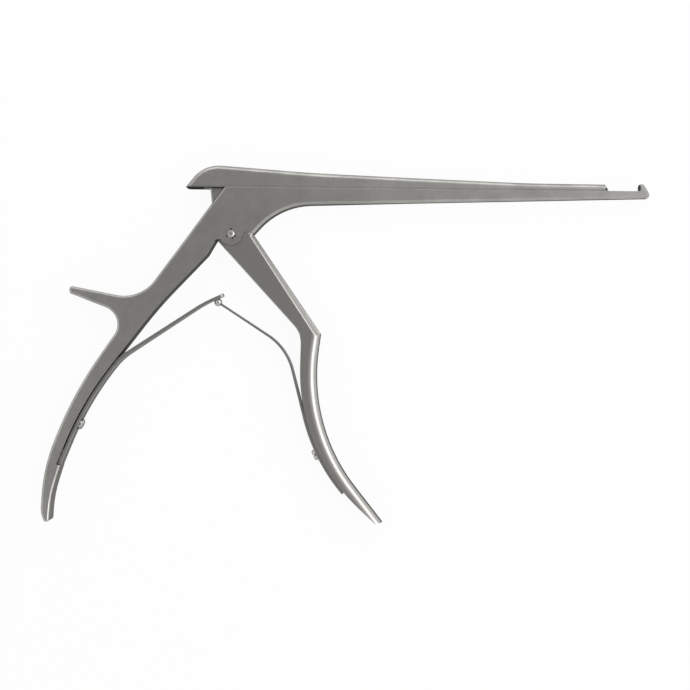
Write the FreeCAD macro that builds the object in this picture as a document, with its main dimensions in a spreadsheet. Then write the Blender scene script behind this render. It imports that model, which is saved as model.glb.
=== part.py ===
import FreeCAD, Part
import math
import os

import Sketcher

# Kerrison rongeur, lying on its side. The origin is on the lever's pivot axis, in the plane of
# the lower side face. +X runs along the shaft to the tip, +Y points away from the handles and
# +Z points up, across the instrument. Lengths are in millimetres and angles in degrees.

SIZES = {
    # Stock: every large piece is as thick as the head, and the shaft narrows towards its tip
    "thickness": 10.0,
    "shaft_width": 5.5,
    "taper_start": 12.0,
    "taper_end": 83.5,
    "taper_blend": 200.0,
    "side_band": 0.1,

    # Head of the frame, its height above the pivot and its sloping back
    "slide_plane": 21.5,
    "head_back_x": -3.4,
    "head_back_angle": 53.8,

    # Thumb saddle and spur
    "saddle_drop": 30.8,
    "saddle_radius": 17.6,
    "spur_reach": 74.3,
    "spur_top_angle": 10.9,
    "spur_end_depth": 3.4,
    "spur_end_radius": 1.4,
    "spur_under_angle": 21.0,
    "spur_root_x": -47.5,
    "spur_root_radius": 8.4,

    # Rear handle, from the spur to its end
    "rear_back_upper_x": -71.4,
    "rear_back_upper_y": -73.2,
    "rear_back_upper_radius": 178.0,
    "rear_back_lower_x": -85.65,
    "rear_back_lower_y": -107.9,
    "rear_back_lower_radius": 85.0,
    "rear_back_toe_out": 1.5,
    "rear_back_toe_rise": 4.8,
    "rear_back_toe_radius": 10.0,
    "rear_end_x": -85.2,
    "rear_end_y": -133.4,
    "rear_end_width": 2.25,
    "rear_end_radius": 1.15,
    "rear_inner_toe_in": 2.9,
    "rear_inner_toe_rise": 11.9,
    "rear_inner_toe_radius": 60.0,
    "rear_seat_end_angle": 68.0,
    "rear_seat_x": -68.05,
    "rear_seat_y": -78.4,
    "rear_seat_radius": 150.0,
    "rear_seat_length": 30.6,
    "rear_inner_bend_x": -34.2,
    "rear_inner_bend_y": -34.1,
    "rear_inner_bend_radius": 200.0,

    # Crotch between the rear handle and the pivot lobe
    "crotch_shoulder_x": -11.0,
    "crotch_shoulder_y": -9.7,
    "crotch_shoulder_radius": 5.0,
    "crotch_x": -6.9,
    "crotch_y": -2.6,
    "crotch_radius": 0.8,

    # Pivot lobe and the stop that the opened lever rests on
    "lobe_radius": 5.5,
    "lobe_front_angle": -14.0,
    "lobe_rear_angle": -151.0,
    "stop_root_x": 5.92,
    "stop_root_y": 1.1,
    "stop_root_radius": 1.5,
    "neck_corner_x": 10.3,
    "neck_corner_y": 0.15,

    # Neck and lower shaft
    "neck_bend_x": 22.4,
    "neck_bend_y": 13.6,
    "neck_radius": 33.0,
    "shaft_tip_depth": 3.15,
    "shaft_length": 193.6,
    "shaft_tip_radius": 1.35,
    "neck_chamfer": 1.1,
    "edge_round": 1.1,

    # Footplate at the tip
    "foot_depth": 4.6,
    "foot_height": 3.3,
    "foot_top_length": 1.6,
    "foot_bulge_back": 0.7,
    "foot_bulge_drop": 0.4,
    "foot_front_radius": 4.5,
    "foot_top_radius": 1.3,
    "cup_rim": 0.8,
    "cup_radius": 0.7,
    "foot_cup_depth": 0.9,

    # Slot between the cheeks, for the lever's tongue
    "tongue_thickness": 4.0,
    "tongue_clearance": 0.1,
    "slot_radius": 8.2,
    "slot_back_top_x": -10.9,
    "slot_front_top_x": 12.0,
    "slot_front_low_x": 9.0,
    "slot_front_low_y": 1.5,
    "slot_front_radius": 3.0,
    "cut_margin": 1.0,

    # T-groove in the lower shaft and the rail that runs in it
    "rail_neck": 1.6,
    "rail_neck_height": 0.8,
    "rail_head": 3.0,
    "rail_head_height": 1.1,
    "rail_root": 1.0,
    "rail_start": 20.0,
    "rail_setback": 5.05,
    "rail_clearance": 0.08,
    "groove_setback": 2.0,

    # Slide, with its heights above the slide plane
    "slide_clearance": 0.05,
    "beak_reach": 21.1,
    "beak_radius": 15.0,
    "crown_x": -12.8,
    "crown_height": 10.5,
    "slide_bend_x": 36.0,
    "slide_bend_height": 7.05,
    "slide_bend_radius": 800.0,
    "slide_fore_length": 36.05,
    "slide_fore_height": 3.3,
    "slide_fore_radius": 600.0,
    "slide_tip_height": 3.1,
    "bite_gap": 0.0845,
    "slide_front_slant": 1.5,
    "slide_round": 1.8,
    "slide_cup_depth": 2.4,

    # Drive: the cross pin in the slide and the fork that pushes it
    "drive_height": 25.5,
    "drive_pin_radius": 1.5,
    "drive_pin_recess": 0.05,
    "fork_clearance": 0.12,
    "fork_top": 27.9,
    "fork_floor": 23.6,
    "ceiling_gap": 0.4,
    "pocket_mouth": 12.8,
    "pocket_roof": 9.2,
    "pocket_radius": 1.5,
    "pin_fit": 0.01,

    # Lever: how far it swings, its seat round the lobe, and its tongue
    "lever_swing_angle": 32.5,
    "lever_gap": 0.15,
    "lever_shoulder_angle": -113.0,
    "lever_back_reach": 6.85,
    "lever_back_angle": 47.4,
    "tongue_back_x": -7.8,
    "tongue_back_angle": 6.0,
    "tongue_half_width": 3.2,
    "tongue_front_x": 7.4,
    "tongue_front_y": 0.3,
    "tongue_root_y": -13.0,
    "tongue_top_radius": 1.0,
    "tongue_elbow_radius": 3.0,

    # Lever below the pivot: knee and grip
    "lever_knee_inner_x": 32.65,
    "lever_knee_inner_radius": 12.0,
    "lever_inner_x": 31.6,
    "lever_inner_y": -99.7,
    "lever_inner_radius": 86.5,
    "lever_end_x": 67.6,
    "lever_end_y": -133.3,
    "lever_end_front_x": 70.9,
    "lever_end_front_y": -132.6,
    "lever_end_radius": 1.2,
    "lever_front_x": 36.2,
    "lever_front_y": -88.55,
    "lever_front_radius": 84.0,
    "lever_knee_x": 41.8,
    "lever_knee_y": -45.9,
    "lever_corner_x": 10.1,
    "lever_bevel_top": 1.6,
    "lever_bevel_growth": 1.2,
    "grip_round": 4.2,

    # Pivot screw: its countersunk head, journal and riveted end
    "pivot_radius": 2.5,
    "pivot_end_radius": 1.55,
    "pivot_head_radius": 3.6,
    "pivot_head_height": 1.3,
    "pivot_recess": 0.1,
    "pivot_dome": 0.35,
    "pivot_dome_inset": 0.45,
    "pivot_slot_width": 0.9,
    "pivot_slot_depth": 0.7,
    "stake_distance": 2.15,
    "stake_radius": 0.3,
    "stake_depth": 0.25,
    "running_fit": 0.03,

    # Leaf springs: their thickness and width at root and tip
    "leaf_gap": 0.06,
    "rear_leaf_thickness": 1.7,
    "rear_leaf_tip_thickness": 1.35,
    "rear_leaf_width": 7.0,
    "rear_leaf_tip_width": 4.6,
    "rear_leaf_lift_off": 6.5,
    "rear_leaf_bend_radius": 30.0,
    "rear_leaf_rise_angle": 33.5,
    "rear_leaf_reach_radius": 60.0,
    "rear_leaf_tip_overhang": 3.9,
    "rear_leaf_tip_angle": 25.0,
    "rear_leaf_tip_radius": 1.9,
    "front_leaf_thickness": 1.3,
    "front_leaf_tip_thickness": 1.0,
    "front_leaf_width": 7.0,
    "front_leaf_tip_width": 3.2,
    "front_leaf_bend_radius": 27.0,
    "front_leaf_fall_angle": 33.0,
    "front_leaf_lift_angle": 194.5,
    "front_leaf_root_angle": 220.5,

    # Ball on the tip of the front leaf, and the socket hole in the rear leaf
    "ball_x": -6.1,
    "ball_y": -31.5,
    "ball_radius": 1.85,
    "socket_radius": 1.25,
    "socket_clearance": 0.05,

    # Leaf screws
    "screw_radius": 1.5,
    "screw_length": 4.4,
    "screw_head_radius": 2.6,
    "screw_head_height": 1.6,
    "screw_head_bevel": 0.7,
    "screw_slot_width": 0.7,
    "screw_slot_depth": 0.7,
    "screw_fit": 0.02,
    "screw_hole_play": 0.3,
    "rear_screw_angle": 154.0,
    "rear_screw_slot_angle": 40.0,
    "front_screw_angle": 206.3,
    "front_screw_slot_angle": 0.0,
}


doc = FreeCAD.newDocument("kerrison_rongeur")
sheet = doc.addObject("Spreadsheet::Sheet", "Sizes")
kept = {}


def keep(name, value):
    """Write one size into the sheet under its own name."""
    row = len(kept) + 1
    sheet.set(f"A{row}", name)
    sheet.set(f"B{row}", repr(round(float(value), 9)))
    sheet.setAlias(f"B{row}", name)
    kept[name] = float(value)
    return name


for size_name, size_value in SIZES.items():
    keep(size_name, size_value)
size = kept


def direction(angle):
    """Unit vector at an angle from +X, in degrees."""
    return FreeCAD.Vector(math.cos(math.radians(angle)), math.sin(math.radians(angle)), 0)


def point(x, y):
    return FreeCAD.Vector(x, y, 0)


def meet(start, angle, other_start, other_angle):
    """Point where two lines, each given by a point and an angle, cross."""
    along = direction(angle)
    other = direction(other_angle)
    apart = other_start - start
    cross = along.x * other.y - along.y * other.x
    return start + along * ((apart.x * other.y - apart.y * other.x) / cross)


def angle_of(vector):
    return math.degrees(math.atan2(vector.y, vector.x))


def corner(place, radius=0.0):
    """A corner of an outline: where it is and how it is rounded."""
    return (place, radius)


def rounded(before, place, after, radius):
    """Start, end and centre of the arc that rounds a corner."""
    back = (before - place).normalize()
    ahead = (after - place).normalize()
    half = math.acos(max(-1.0, min(1.0, back.dot(ahead)))) / 2
    reach = radius / math.tan(half)
    centre = place + (back + ahead).normalize() * (radius / math.sin(half))
    return place + back * reach, place + ahead * reach, centre


class Outline:
    """A closed outline in a sketch, each end of its lines and arcs bound to a cell."""

    def __init__(self, sketch, name):
        self.sketch = sketch
        self.name = name
        self.ends = 0
        self.first = None
        self.last = None

    def bind(self, kind, geometry, end, value, word):
        cell = keep(f"{self.name}_{word}", value)
        if kind == "Radius":
            rule = Sketcher.Constraint(kind, geometry, value)
        else:
            rule = Sketcher.Constraint(kind, -1, 1, geometry, end, value)
        index = self.sketch.addConstraint(rule)
        self.sketch.setExpression(f"Constraints[{index}]", f"Sizes.{cell}")

    def pin(self, geometry, end, place):
        self.ends += 1
        self.bind("DistanceX", geometry, end, place.x, f"{self.ends}_x")
        self.bind("DistanceY", geometry, end, place.y, f"{self.ends}_y")

    def join(self, geometry, start_end, finish_end, start):
        """Join a new line or arc to the last one at its start."""
        if self.last is None:
            self.first = (geometry, start_end)
        else:
            rule = Sketcher.Constraint("Coincident", *self.last, geometry, start_end)
            self.sketch.addConstraint(rule)
        self.pin(geometry, start_end, start)
        self.last = (geometry, finish_end)

    def line(self, start, finish):
        if start.distanceToPoint(finish) < 1e-7:
            return
        geometry = self.sketch.addGeometry(Part.LineSegment(start, finish))
        self.join(geometry, 1, 2, start)

    def arc(self, start, finish, centre):
        """The shorter arc from start to finish round a centre."""
        radius = start.distanceToPoint(centre)
        begin = math.atan2(start.y - centre.y, start.x - centre.x)
        end = math.atan2(finish.y - centre.y, finish.x - centre.x)
        turn = (end - begin) % (2 * math.pi)
        circle = Part.Circle(centre, FreeCAD.Vector(0, 0, 1), radius)
        if turn <= math.pi:
            geometry = self.sketch.addGeometry(Part.ArcOfCircle(circle, begin, begin + turn))
            self.join(geometry, 1, 2, start)
        else:
            span = 2 * math.pi - turn
            geometry = self.sketch.addGeometry(Part.ArcOfCircle(circle, end, end + span))
            self.join(geometry, 2, 1, start)
        self.bind("Radius", geometry, 0, radius, f"{self.ends}_radius")

    def close(self):
        self.sketch.addConstraint(Sketcher.Constraint("Coincident", *self.last, *self.first))

    def draw(self, corners, arcs=None):
        """Draw the outline through its corners. A stretch that starts at a corner whose number
        is in arcs runs round the centre given there, and the others are straight."""
        arcs = arcs or {}
        count = len(corners)
        pieces = []
        for number, (place, radius) in enumerate(corners):
            before = corners[number - 1][0]
            after = corners[(number + 1) % count][0]
            if radius > 0:
                pieces.append(rounded(before, place, after, radius))
            else:
                pieces.append((place, place, None))
        for number, (start, finish, centre) in enumerate(pieces):
            if centre is not None:
                self.arc(start, finish, centre)
            following = pieces[(number + 1) % count][0]
            if number in arcs:
                self.arc(finish, following, arcs[number])
            else:
                self.line(finish, following)
        self.close()


def settle(*items):
    """Bring just these objects up to date, in their order."""
    sheet.recompute()
    for item in items:
        item.recompute()


def new_body(name):
    body = doc.addObject("PartDesign::Body", name)
    body.Label = name
    return body


def new_sketch(body, name, plane="XY_Plane", height=None, offset=None):
    """A sketch on one of the body's own planes, raised by a cell or turned by a placement."""
    sketch = body.newObject("Sketcher::SketchObject", name)
    base = [item for item in body.Origin.OriginFeatures if item.Role == plane]
    sketch.AttachmentSupport = [(base[0], "")]
    sketch.MapMode = "FlatFace"
    if offset is not None:
        sketch.AttachmentOffset = offset
    if height is not None:
        sketch.setExpression("AttachmentOffset.Base.z", height)
    return sketch


def draw(body, name, corners, arcs=None, **where):
    sketch = new_sketch(body, name + "_sketch", **where)
    Outline(sketch, name).draw(corners, arcs)
    return sketch


def extrude(body, kind, sketch, length, name, reverse=False, midplane=False):
    """Pad or pocket a sketch by a length given as an expression, or by a kind of end."""
    feature = body.newObject(f"PartDesign::{kind}", name)
    feature.Profile = sketch
    if length == "through":
        feature.Type = 1
    else:
        feature.Type = 0
        feature.setExpression("Length", length)
    feature.Reversed = reverse
    feature.Midplane = midplane
    sketch.Visibility = False
    settle(sketch, feature)
    return feature


def ring(body, name, radius, length, x="0", y="0", height="0", kind="Pocket", reverse=True):
    """A round hole or boss across the instrument, at a place given by expressions."""
    sketch = new_sketch(body, name + "_sketch", height=height)
    circle = Part.Circle(FreeCAD.Vector(0, 0, 0), FreeCAD.Vector(0, 0, 1), 1)
    geometry = sketch.addGeometry(circle)
    rules = (
        (Sketcher.Constraint("Radius", geometry, 1), radius),
        (Sketcher.Constraint("DistanceX", -1, 1, geometry, 3, 0), x),
        (Sketcher.Constraint("DistanceY", -1, 1, geometry, 3, 0), y),
    )
    for rule, expression in rules:
        index = sketch.addConstraint(rule)
        sketch.setExpression(f"Constraints[{index}]", expression)
    return extrude(body, kind, sketch, length, name, reverse=reverse)


# Middle of the instrument's thickness, and the swing's half on each side of upright
middle = size["thickness"] / 2
half_swing = size["lever_swing_angle"] / 2
travel = 2 * size["drive_height"] * math.tan(math.radians(half_swing))
keep("travel", travel)
keep("middle", middle)
keep("half_swing", half_swing)

# Places along the shaft that follow from its length and from the slide's travel
keep("foot_face_x", size["shaft_length"] - size["foot_depth"])
keep("groove_end", size["foot_face_x"] - size["groove_setback"])
keep("slide_front_x", size["foot_face_x"] - travel - size["bite_gap"])
keep("slide_fore_x", size["slide_front_x"] - size["slide_fore_length"])
keep("rail_end", size["slide_front_x"] - size["rail_setback"])


def back_slope_at(y):
    """Point of the head's sloping back at a height."""
    run = (size["slide_plane"] - y) / math.tan(math.radians(size["head_back_angle"]))
    return point(size["head_back_x"] - run, y)


def seat_offset(distance):
    """The rear handle's inner line, shifted away from the handle: the straight upper stretch,
    the arc of the seat and the straight lower stretch, as points and the arc's radius."""
    bend = point(size["rear_inner_bend_x"], size["rear_inner_bend_y"])
    seat = point(size["rear_seat_x"], size["rear_seat_y"])
    upper_angle = angle_of(bend - seat)
    lower_angle = size["rear_seat_end_angle"]
    upper = seat + direction(upper_angle - 90) * distance
    lower = seat + direction(lower_angle - 90) * distance
    vertex = meet(upper, upper_angle, lower, lower_angle)
    return vertex, upper_angle, lower_angle, size["rear_seat_radius"] - distance


def seat_reach(seat):
    """How far the seat's arc reaches from its vertex along the straight stretches."""
    vertex, upper_angle, lower_angle, radius = seat
    return radius * math.tan(math.radians((lower_angle - upper_angle) / 2))


def seat_end(distance, length):
    """Point on the lower stretch of the shifted seat line, a length beyond its vertex."""
    vertex, upper_angle, lower_angle, radius = seat_offset(0)
    foot = vertex - direction(lower_angle) * length
    return foot + direction(lower_angle - 90) * distance


def frame_corners():
    """Outline of the frame's side, from the head's back down round the handle and back along
    the shaft, with the numbers of its round stretches."""
    plane = size["slide_plane"]
    back = size["head_back_angle"]
    spur_under = -size["spur_under_angle"]
    saddle = back_slope_at(-size["saddle_drop"])
    reach = -size["spur_reach"]
    spur_top = meet(saddle, 180 - size["spur_top_angle"], point(reach, 0), 90)
    spur_low = point(reach, spur_top.y - size["spur_end_depth"])
    spur_root = meet(spur_low, spur_under, point(size["spur_root_x"], 0), 90)
    step = size["rear_leaf_thickness"] + size["leaf_gap"]
    lobe = size["lobe_radius"]
    rear_end = point(size["rear_end_x"], size["rear_end_y"])
    tip_bottom = point(size["shaft_length"], plane - size["shaft_tip_depth"])
    face = size["foot_face_x"]
    foot_top = plane + size["foot_height"]
    corners = [
        corner(point(size["head_back_x"], plane)),
        corner(saddle, size["saddle_radius"]),
        corner(spur_top, size["spur_end_radius"]),
        corner(spur_low, size["spur_end_radius"]),
        corner(spur_root, size["spur_root_radius"]),
        corner(point(size["rear_back_upper_x"], size["rear_back_upper_y"]),
               size["rear_back_upper_radius"]),
        corner(point(size["rear_back_lower_x"], size["rear_back_lower_y"]),
               size["rear_back_lower_radius"]),
        corner(rear_end + point(-size["rear_back_toe_out"], size["rear_back_toe_rise"]),
               size["rear_back_toe_radius"]),
        corner(rear_end, size["rear_end_radius"]),
        corner(rear_end + point(size["rear_end_width"], 0), size["rear_end_radius"]),
        corner(rear_end + point(size["rear_inner_toe_in"], size["rear_inner_toe_rise"]),
               size["rear_inner_toe_radius"]),
        corner(seat_end(step, size["rear_seat_length"])),
        corner(seat_end(0, size["rear_seat_length"])),
        corner(seat_offset(0)[0], size["rear_seat_radius"]),
        corner(point(size["rear_inner_bend_x"], size["rear_inner_bend_y"]),
               size["rear_inner_bend_radius"]),
        corner(point(size["crotch_shoulder_x"], size["crotch_shoulder_y"]),
               size["crotch_shoulder_radius"]),
        corner(point(size["crotch_x"], size["crotch_y"]), size["crotch_radius"]),
        corner(direction(size["lobe_rear_angle"]) * lobe),
        corner(direction(size["lobe_front_angle"]) * lobe),
        corner(point(size["stop_root_x"], size["stop_root_y"]), size["stop_root_radius"]),
        corner(point(size["neck_corner_x"], size["neck_corner_y"])),
        corner(point(size["neck_bend_x"], size["neck_bend_y"]), size["neck_radius"]),
        corner(tip_bottom, size["shaft_tip_radius"]),
        corner(point(size["shaft_length"] - size["foot_bulge_back"],
                     plane - size["foot_bulge_drop"]), size["foot_front_radius"]),
        corner(point(face + size["foot_top_length"], foot_top), size["foot_top_radius"]),
        corner(point(face, foot_top)),
        corner(point(face, plane)),
    ]
    lobe_start = 17
    return corners, {lobe_start: point(0, 0)}


def side_height(x):
    """Height of the upper side face at a place along the shaft."""
    slim = middle + size["shaft_width"] / 2
    start = size["taper_start"]
    end = size["taper_end"]
    share = max(0.0, min(1.0, (x - start) / (end - start)))
    return size["thickness"] + (slim - size["thickness"]) * share


def on_side(edge):
    """True for an edge that bounds the upper or the lower side, tapered or not, and false for
    the seams across the sides where the taper starts and ends."""
    first = edge.FirstParameter
    last = edge.LastParameter
    band = size["side_band"]
    places = [edge.valueAt(first + (last - first) * share) for share in (0.0, 0.3, 0.7, 1.0)]
    upper = all(abs(p.z - side_height(p.x)) < band for p in places)
    lower = all(abs(size["thickness"] - p.z - side_height(p.x)) < band for p in places)
    square = max(p.x for p in places) - min(p.x for p in places) < 1e-3
    start = size["taper_start"] - size["thickness"]
    seam = square and start < places[0].x < size["taper_end"] + size["thickness"]
    return (upper or lower) and not seam


def middle_of(edge):
    return edge.valueAt((edge.FirstParameter + edge.LastParameter) / 2)


def dress(body, kind, name, cell, chosen):
    """Round or bevel the edges that the test chooses on the body's last feature."""
    base = body.Tip
    names = [f"Edge{number}" for number, edge in enumerate(base.Shape.Edges, 1) if chosen(edge)]
    feature = body.newObject(f"PartDesign::{kind}", name)
    feature.Base = (base, names)
    feature.setExpression("Size" if kind == "Chamfer" else "Radius", f"Sizes.{cell}")
    settle(feature)
    return feature


def flank_taper(body, name, reach):
    """Narrow the shaft on both sides, from full thickness to its slender front."""
    top = size["thickness"]
    slim = middle + size["shaft_width"] / 2
    start = size["taper_start"]
    end = size["taper_end"]
    spare = top + size["cut_margin"]
    lead = start - size["thickness"]
    blend = size["taper_blend"]
    upper = [(point(lead, top), 0), (point(start, top), blend), (point(end, slim), blend),
             (point(reach, slim), 0), (point(reach, spare), 0), (point(lead, spare), 0)]
    for side in ("upper", "lower"):
        corners = [corner(p if side == "upper" else point(p.x, top - p.y), radius)
                   for p, radius in upper]
        flank = draw(body, f"{name}_{side}_flank", corners, plane="XZ_Plane")
        extrude(body, "Pocket", flank, "through", f"{name}_{side}_taper", midplane=True)


def cup(body, name, x, height, depth, into):
    """Hollow of a cutting face: a pocket with a round top, inside an even rim."""
    half = size["shaft_width"] / 2 - size["cup_rim"]
    low = size["slide_plane"] + size["cup_rim"] / 2
    high = size["slide_plane"] + height - size["cup_rim"]
    corners = [corner(point(low, middle - half), size["cup_radius"]),
               corner(point(high, middle - half), size["cup_radius"]),
               corner(point(high, middle + half), size["cup_radius"]),
               corner(point(low, middle + half), size["cup_radius"])]
    hollow = draw(body, name, corners, plane="YZ_Plane", height=x)
    extrude(body, "Pocket", hollow, depth, name + "_cut", reverse=into)


def rail_corners(play):
    """Section of the T-shaped rail, seen along the shaft, grown by a running clearance."""
    plane = size["slide_plane"]
    neck = size["rail_neck"] / 2 + play
    head = size["rail_head"] / 2 + play
    under = plane - size["rail_neck_height"] + play
    low = plane - size["rail_neck_height"] - size["rail_head_height"] - play
    top = plane + size["rail_root"]
    return [corner(point(*place)) for place in (
        (top, middle - neck), (under, middle - neck), (under, middle - head),
        (low, middle - head), (low, middle + head), (under, middle + head),
        (under, middle + neck), (top, middle + neck))]


def bore(body, name, radius, length, place, axis):
    """A drilled hole of any direction: it starts at a place and runs along an axis."""
    hole = body.newObject("PartDesign::SubtractiveCylinder", name)
    hole.setExpression("Radius", radius)
    hole.setExpression("Height", length)
    turn = FreeCAD.Rotation(FreeCAD.Vector(0, 0, 1), axis)
    hole.Placement = FreeCAD.Placement(place, turn)
    settle(hole)
    return hole


# Angles of the punch marks that lock the riveted pivot end
STAKES = (90, 210, 290, 330)

SLOT_HEIGHT = "(Sizes.thickness - Sizes.tongue_thickness) / 2 - Sizes.tongue_clearance"
SLOT_WIDTH = "Sizes.tongue_thickness + 2 * Sizes.tongue_clearance"


def across(x, y):
    """A place in the mid-plane of the instrument."""
    return FreeCAD.Vector(x, y, middle)


def rear_screw_seat(distance):
    """Point on the rear handle's round seat where its screw stands, and the way out of it."""
    vertex, upper_angle, lower_angle, radius = seat_offset(0)
    below = vertex - direction(lower_angle)
    above = vertex + direction(upper_angle)
    centre = rounded(above, vertex, below, radius)[2]
    outward = direction(size["rear_screw_angle"]) * -1
    place = centre - outward * (radius - distance)
    return across(place.x, place.y), outward


def lever_lines():
    """Corners of the lever's inner side from the knee to its end, and the centre of its arc."""
    back_angle = -size["lever_back_angle"]
    normal = direction(back_angle - 90)
    start = normal * size["lever_back_reach"]
    knee = meet(start, back_angle, point(size["lever_knee_inner_x"], 0), 90)
    bend = point(size["lever_inner_x"], size["lever_inner_y"])
    end = point(size["lever_end_x"], size["lever_end_y"])
    centre = rounded(knee, bend, end, size["lever_inner_radius"])[2]
    return start, knee, bend, end, centre


def front_screw_seat(distance):
    """Point on the lever's round seat where its screw stands, and the way out of it."""
    centre = lever_lines()[4]
    outward = direction(size["front_screw_angle"])
    place = centre + outward * (size["lever_inner_radius"] + distance)
    return across(place.x, place.y), outward


def make_frame():
    """The forging: lower shaft, head with its cheeks, rear handle and thumb spur."""
    body = new_body("frame")
    corners, arcs = frame_corners()
    side = draw(body, "frame_outline", corners, arcs)
    extrude(body, "Pad", side, "Sizes.thickness", "frame_stock")
    flank_taper(body, "frame", size["shaft_length"] + size["thickness"])

    plane = size["slide_plane"]
    seat_top = seat_offset(0)[0]
    step = size["rear_leaf_thickness"] + size["leaf_gap"]
    seat_foot = seat_end(step, size["rear_seat_length"])

    def shaft_edge(edge):
        place = middle_of(edge)
        ahead = place.x > size["neck_corner_x"] and on_side(edge)
        on_plane = abs(place.y - plane) < 1e-3
        on_face = abs(place.x - size["foot_face_x"]) < 1e-3
        return ahead and not on_plane and not on_face

    def handle_edge(edge):
        place = middle_of(edge)
        back = place.x < size["head_back_x"] and on_side(edge)
        outer = meet(place, 0, seat_top, seat_offset(0)[1]).x
        toe = place.y < seat_foot.y
        return back and (toe or place.x < outer - size["spur_end_depth"])

    dress(body, "Chamfer", "shaft_bevel", "neck_chamfer", shaft_edge)
    dress(body, "Fillet", "handle_rounding", "edge_round", handle_edge)

    groove = draw(body, "groove", rail_corners(size["rail_clearance"]),
                  plane="YZ_Plane", height="Sizes.groove_end")
    extrude(body, "Pocket", groove, "Sizes.groove_end - Sizes.slot_front_low_x", "groove_cut")
    cup(body, "foot_cup", "Sizes.foot_face_x", size["foot_height"],
        "Sizes.foot_cup_depth", into=True)
    slot = draw(body, "cheek_slot", [
        corner(point(-size["slot_radius"], 0)),
        corner(point(size["slot_back_top_x"], plane + size["cut_margin"])),
        corner(point(size["slot_front_top_x"], plane + size["cut_margin"])),
        corner(point(size["slot_front_low_x"], size["slot_front_low_y"]),
               size["slot_front_radius"]),
        corner(point(0, 0)),
    ], height=SLOT_HEIGHT)
    extrude(body, "Pocket", slot, SLOT_WIDTH, "cheek_slot_cut", reverse=True)
    ring(body, "cheek_round", "Sizes.slot_radius", SLOT_WIDTH, height=SLOT_HEIGHT)
    ring(body, "pivot_bore", "Sizes.pivot_radius + Sizes.running_fit", "Sizes.middle")
    ring(body, "pivot_end_bore", "Sizes.pivot_end_radius + Sizes.running_fit",
         "Sizes.middle", height="Sizes.middle")
    sink = body.newObject("PartDesign::SubtractiveCone", "pivot_countersink")
    sink.setExpression("Radius1", "Sizes.pivot_head_radius")
    sink.setExpression("Radius2", "Sizes.pivot_radius")
    sink.setExpression("Height", "Sizes.pivot_head_height")
    settle(sink)
    for angle in STAKES:
        ring(body, f"stake_{angle}", "Sizes.stake_radius", "Sizes.stake_depth",
             x=f"Sizes.stake_distance * cos({angle})", y=f"Sizes.stake_distance * sin({angle})",
             height="Sizes.thickness", reverse=False)
    place, outward = rear_screw_seat(size["screw_hole_play"])
    bore(body, "rear_screw_hole", "Sizes.screw_radius + Sizes.screw_fit",
         "Sizes.screw_length - Sizes.rear_leaf_thickness + 2 * Sizes.screw_hole_play",
         place, outward * -1)
    return body


def make_slide():
    """The upper shaft: beaked back, tapering crown, cutting front, and the rail under it."""
    body = new_body("slide")
    low = size["slide_plane"] + size["slide_clearance"]
    plane = size["slide_plane"]
    front = size["slide_front_x"]
    top_front = front - size["slide_front_slant"]
    crown = point(size["crown_x"], plane + size["crown_height"])
    corners = [
        corner(point(-size["beak_reach"], low)),
        corner(point(front, low)),
        corner(point(top_front, plane + size["slide_tip_height"])),
        corner(point(size["slide_fore_x"], plane + size["slide_fore_height"]),
               size["slide_fore_radius"]),
        corner(point(size["slide_bend_x"], plane + size["slide_bend_height"]),
               size["slide_bend_radius"]),
        corner(crown, size["beak_radius"]),
    ]
    side = draw(body, "slide_outline", corners)
    extrude(body, "Pad", side, "Sizes.thickness", "slide_stock")
    flank_taper(body, "slide", front + size["thickness"])

    def crown_edge(edge):
        place = middle_of(edge)
        end_face = place.x > top_front - 0.01
        return on_side(edge) and place.y > low + 0.01 and not end_face

    dress(body, "Fillet", "slide_rounding", "slide_round", crown_edge)
    rail = draw(body, "rail", rail_corners(0), plane="YZ_Plane", height="Sizes.rail_end")
    extrude(body, "Pad", rail, "Sizes.rail_end - Sizes.rail_start", "rail_stock", reverse=True)
    cup(body, "slide_cup", "Sizes.slide_front_x", size["slide_tip_height"],
        "Sizes.slide_cup_depth + Sizes.slide_front_slant", into=False)

    roof = size["fork_top"] + size["ceiling_gap"]
    pin_x = -travel / 2
    mouth = size["pocket_mouth"] / 2
    top = size["pocket_roof"] / 2
    pocket = draw(body, "tongue_pocket", [
        corner(point(pin_x - mouth, plane - size["cut_margin"])),
        corner(point(pin_x + mouth, plane - size["cut_margin"])),
        corner(point(pin_x + top, roof), size["pocket_radius"]),
        corner(point(pin_x - top, roof), size["pocket_radius"]),
    ], height=SLOT_HEIGHT)
    extrude(body, "Pocket", pocket, SLOT_WIDTH, "tongue_pocket_cut", reverse=True)
    ring(body, "drive_pin_hole", "Sizes.drive_pin_radius + Sizes.pin_fit", "Sizes.thickness",
         x="-Sizes.travel / 2", y="Sizes.drive_height")
    return body


def bevel_thigh(body, top, knee):
    """Bevels along the front of the lever's upper half, which widen towards the knee."""
    along = knee - top
    thickness = size["thickness"]
    growth = math.degrees(math.atan(size["lever_bevel_growth"] / math.sqrt(2) / along.Length))
    keep("thigh_length", along.Length)
    keep("thigh_growth", growth)
    aside = direction(angle_of(along) + 90)
    turn = FreeCAD.Rotation(aside, FreeCAD.Vector(0, 0, 1), along, "ZXY")
    for side in (1, -1):
        base = FreeCAD.Vector(top.x, top.y, middle + side * thickness / 2)
        offset = FreeCAD.Placement(base, turn)
        reach = size["lever_bevel_top"]
        margin = size["cut_margin"]
        name = f"thigh_{'upper' if side > 0 else 'lower'}_bevel"
        wedge = draw(body, name, [
            corner(point(-reach, 0)), corner(point(0, -side * reach)),
            corner(point(margin, -side * reach)), corner(point(margin, side * margin)),
            corner(point(-reach, side * margin))], offset=offset)
        cut = extrude(body, "Pocket", wedge, "Sizes.thigh_length + Sizes.thickness",
                      name + "_cut", reverse=True)
        cut.setExpression("TaperAngle", "Sizes.thigh_growth")
        settle(cut)


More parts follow.
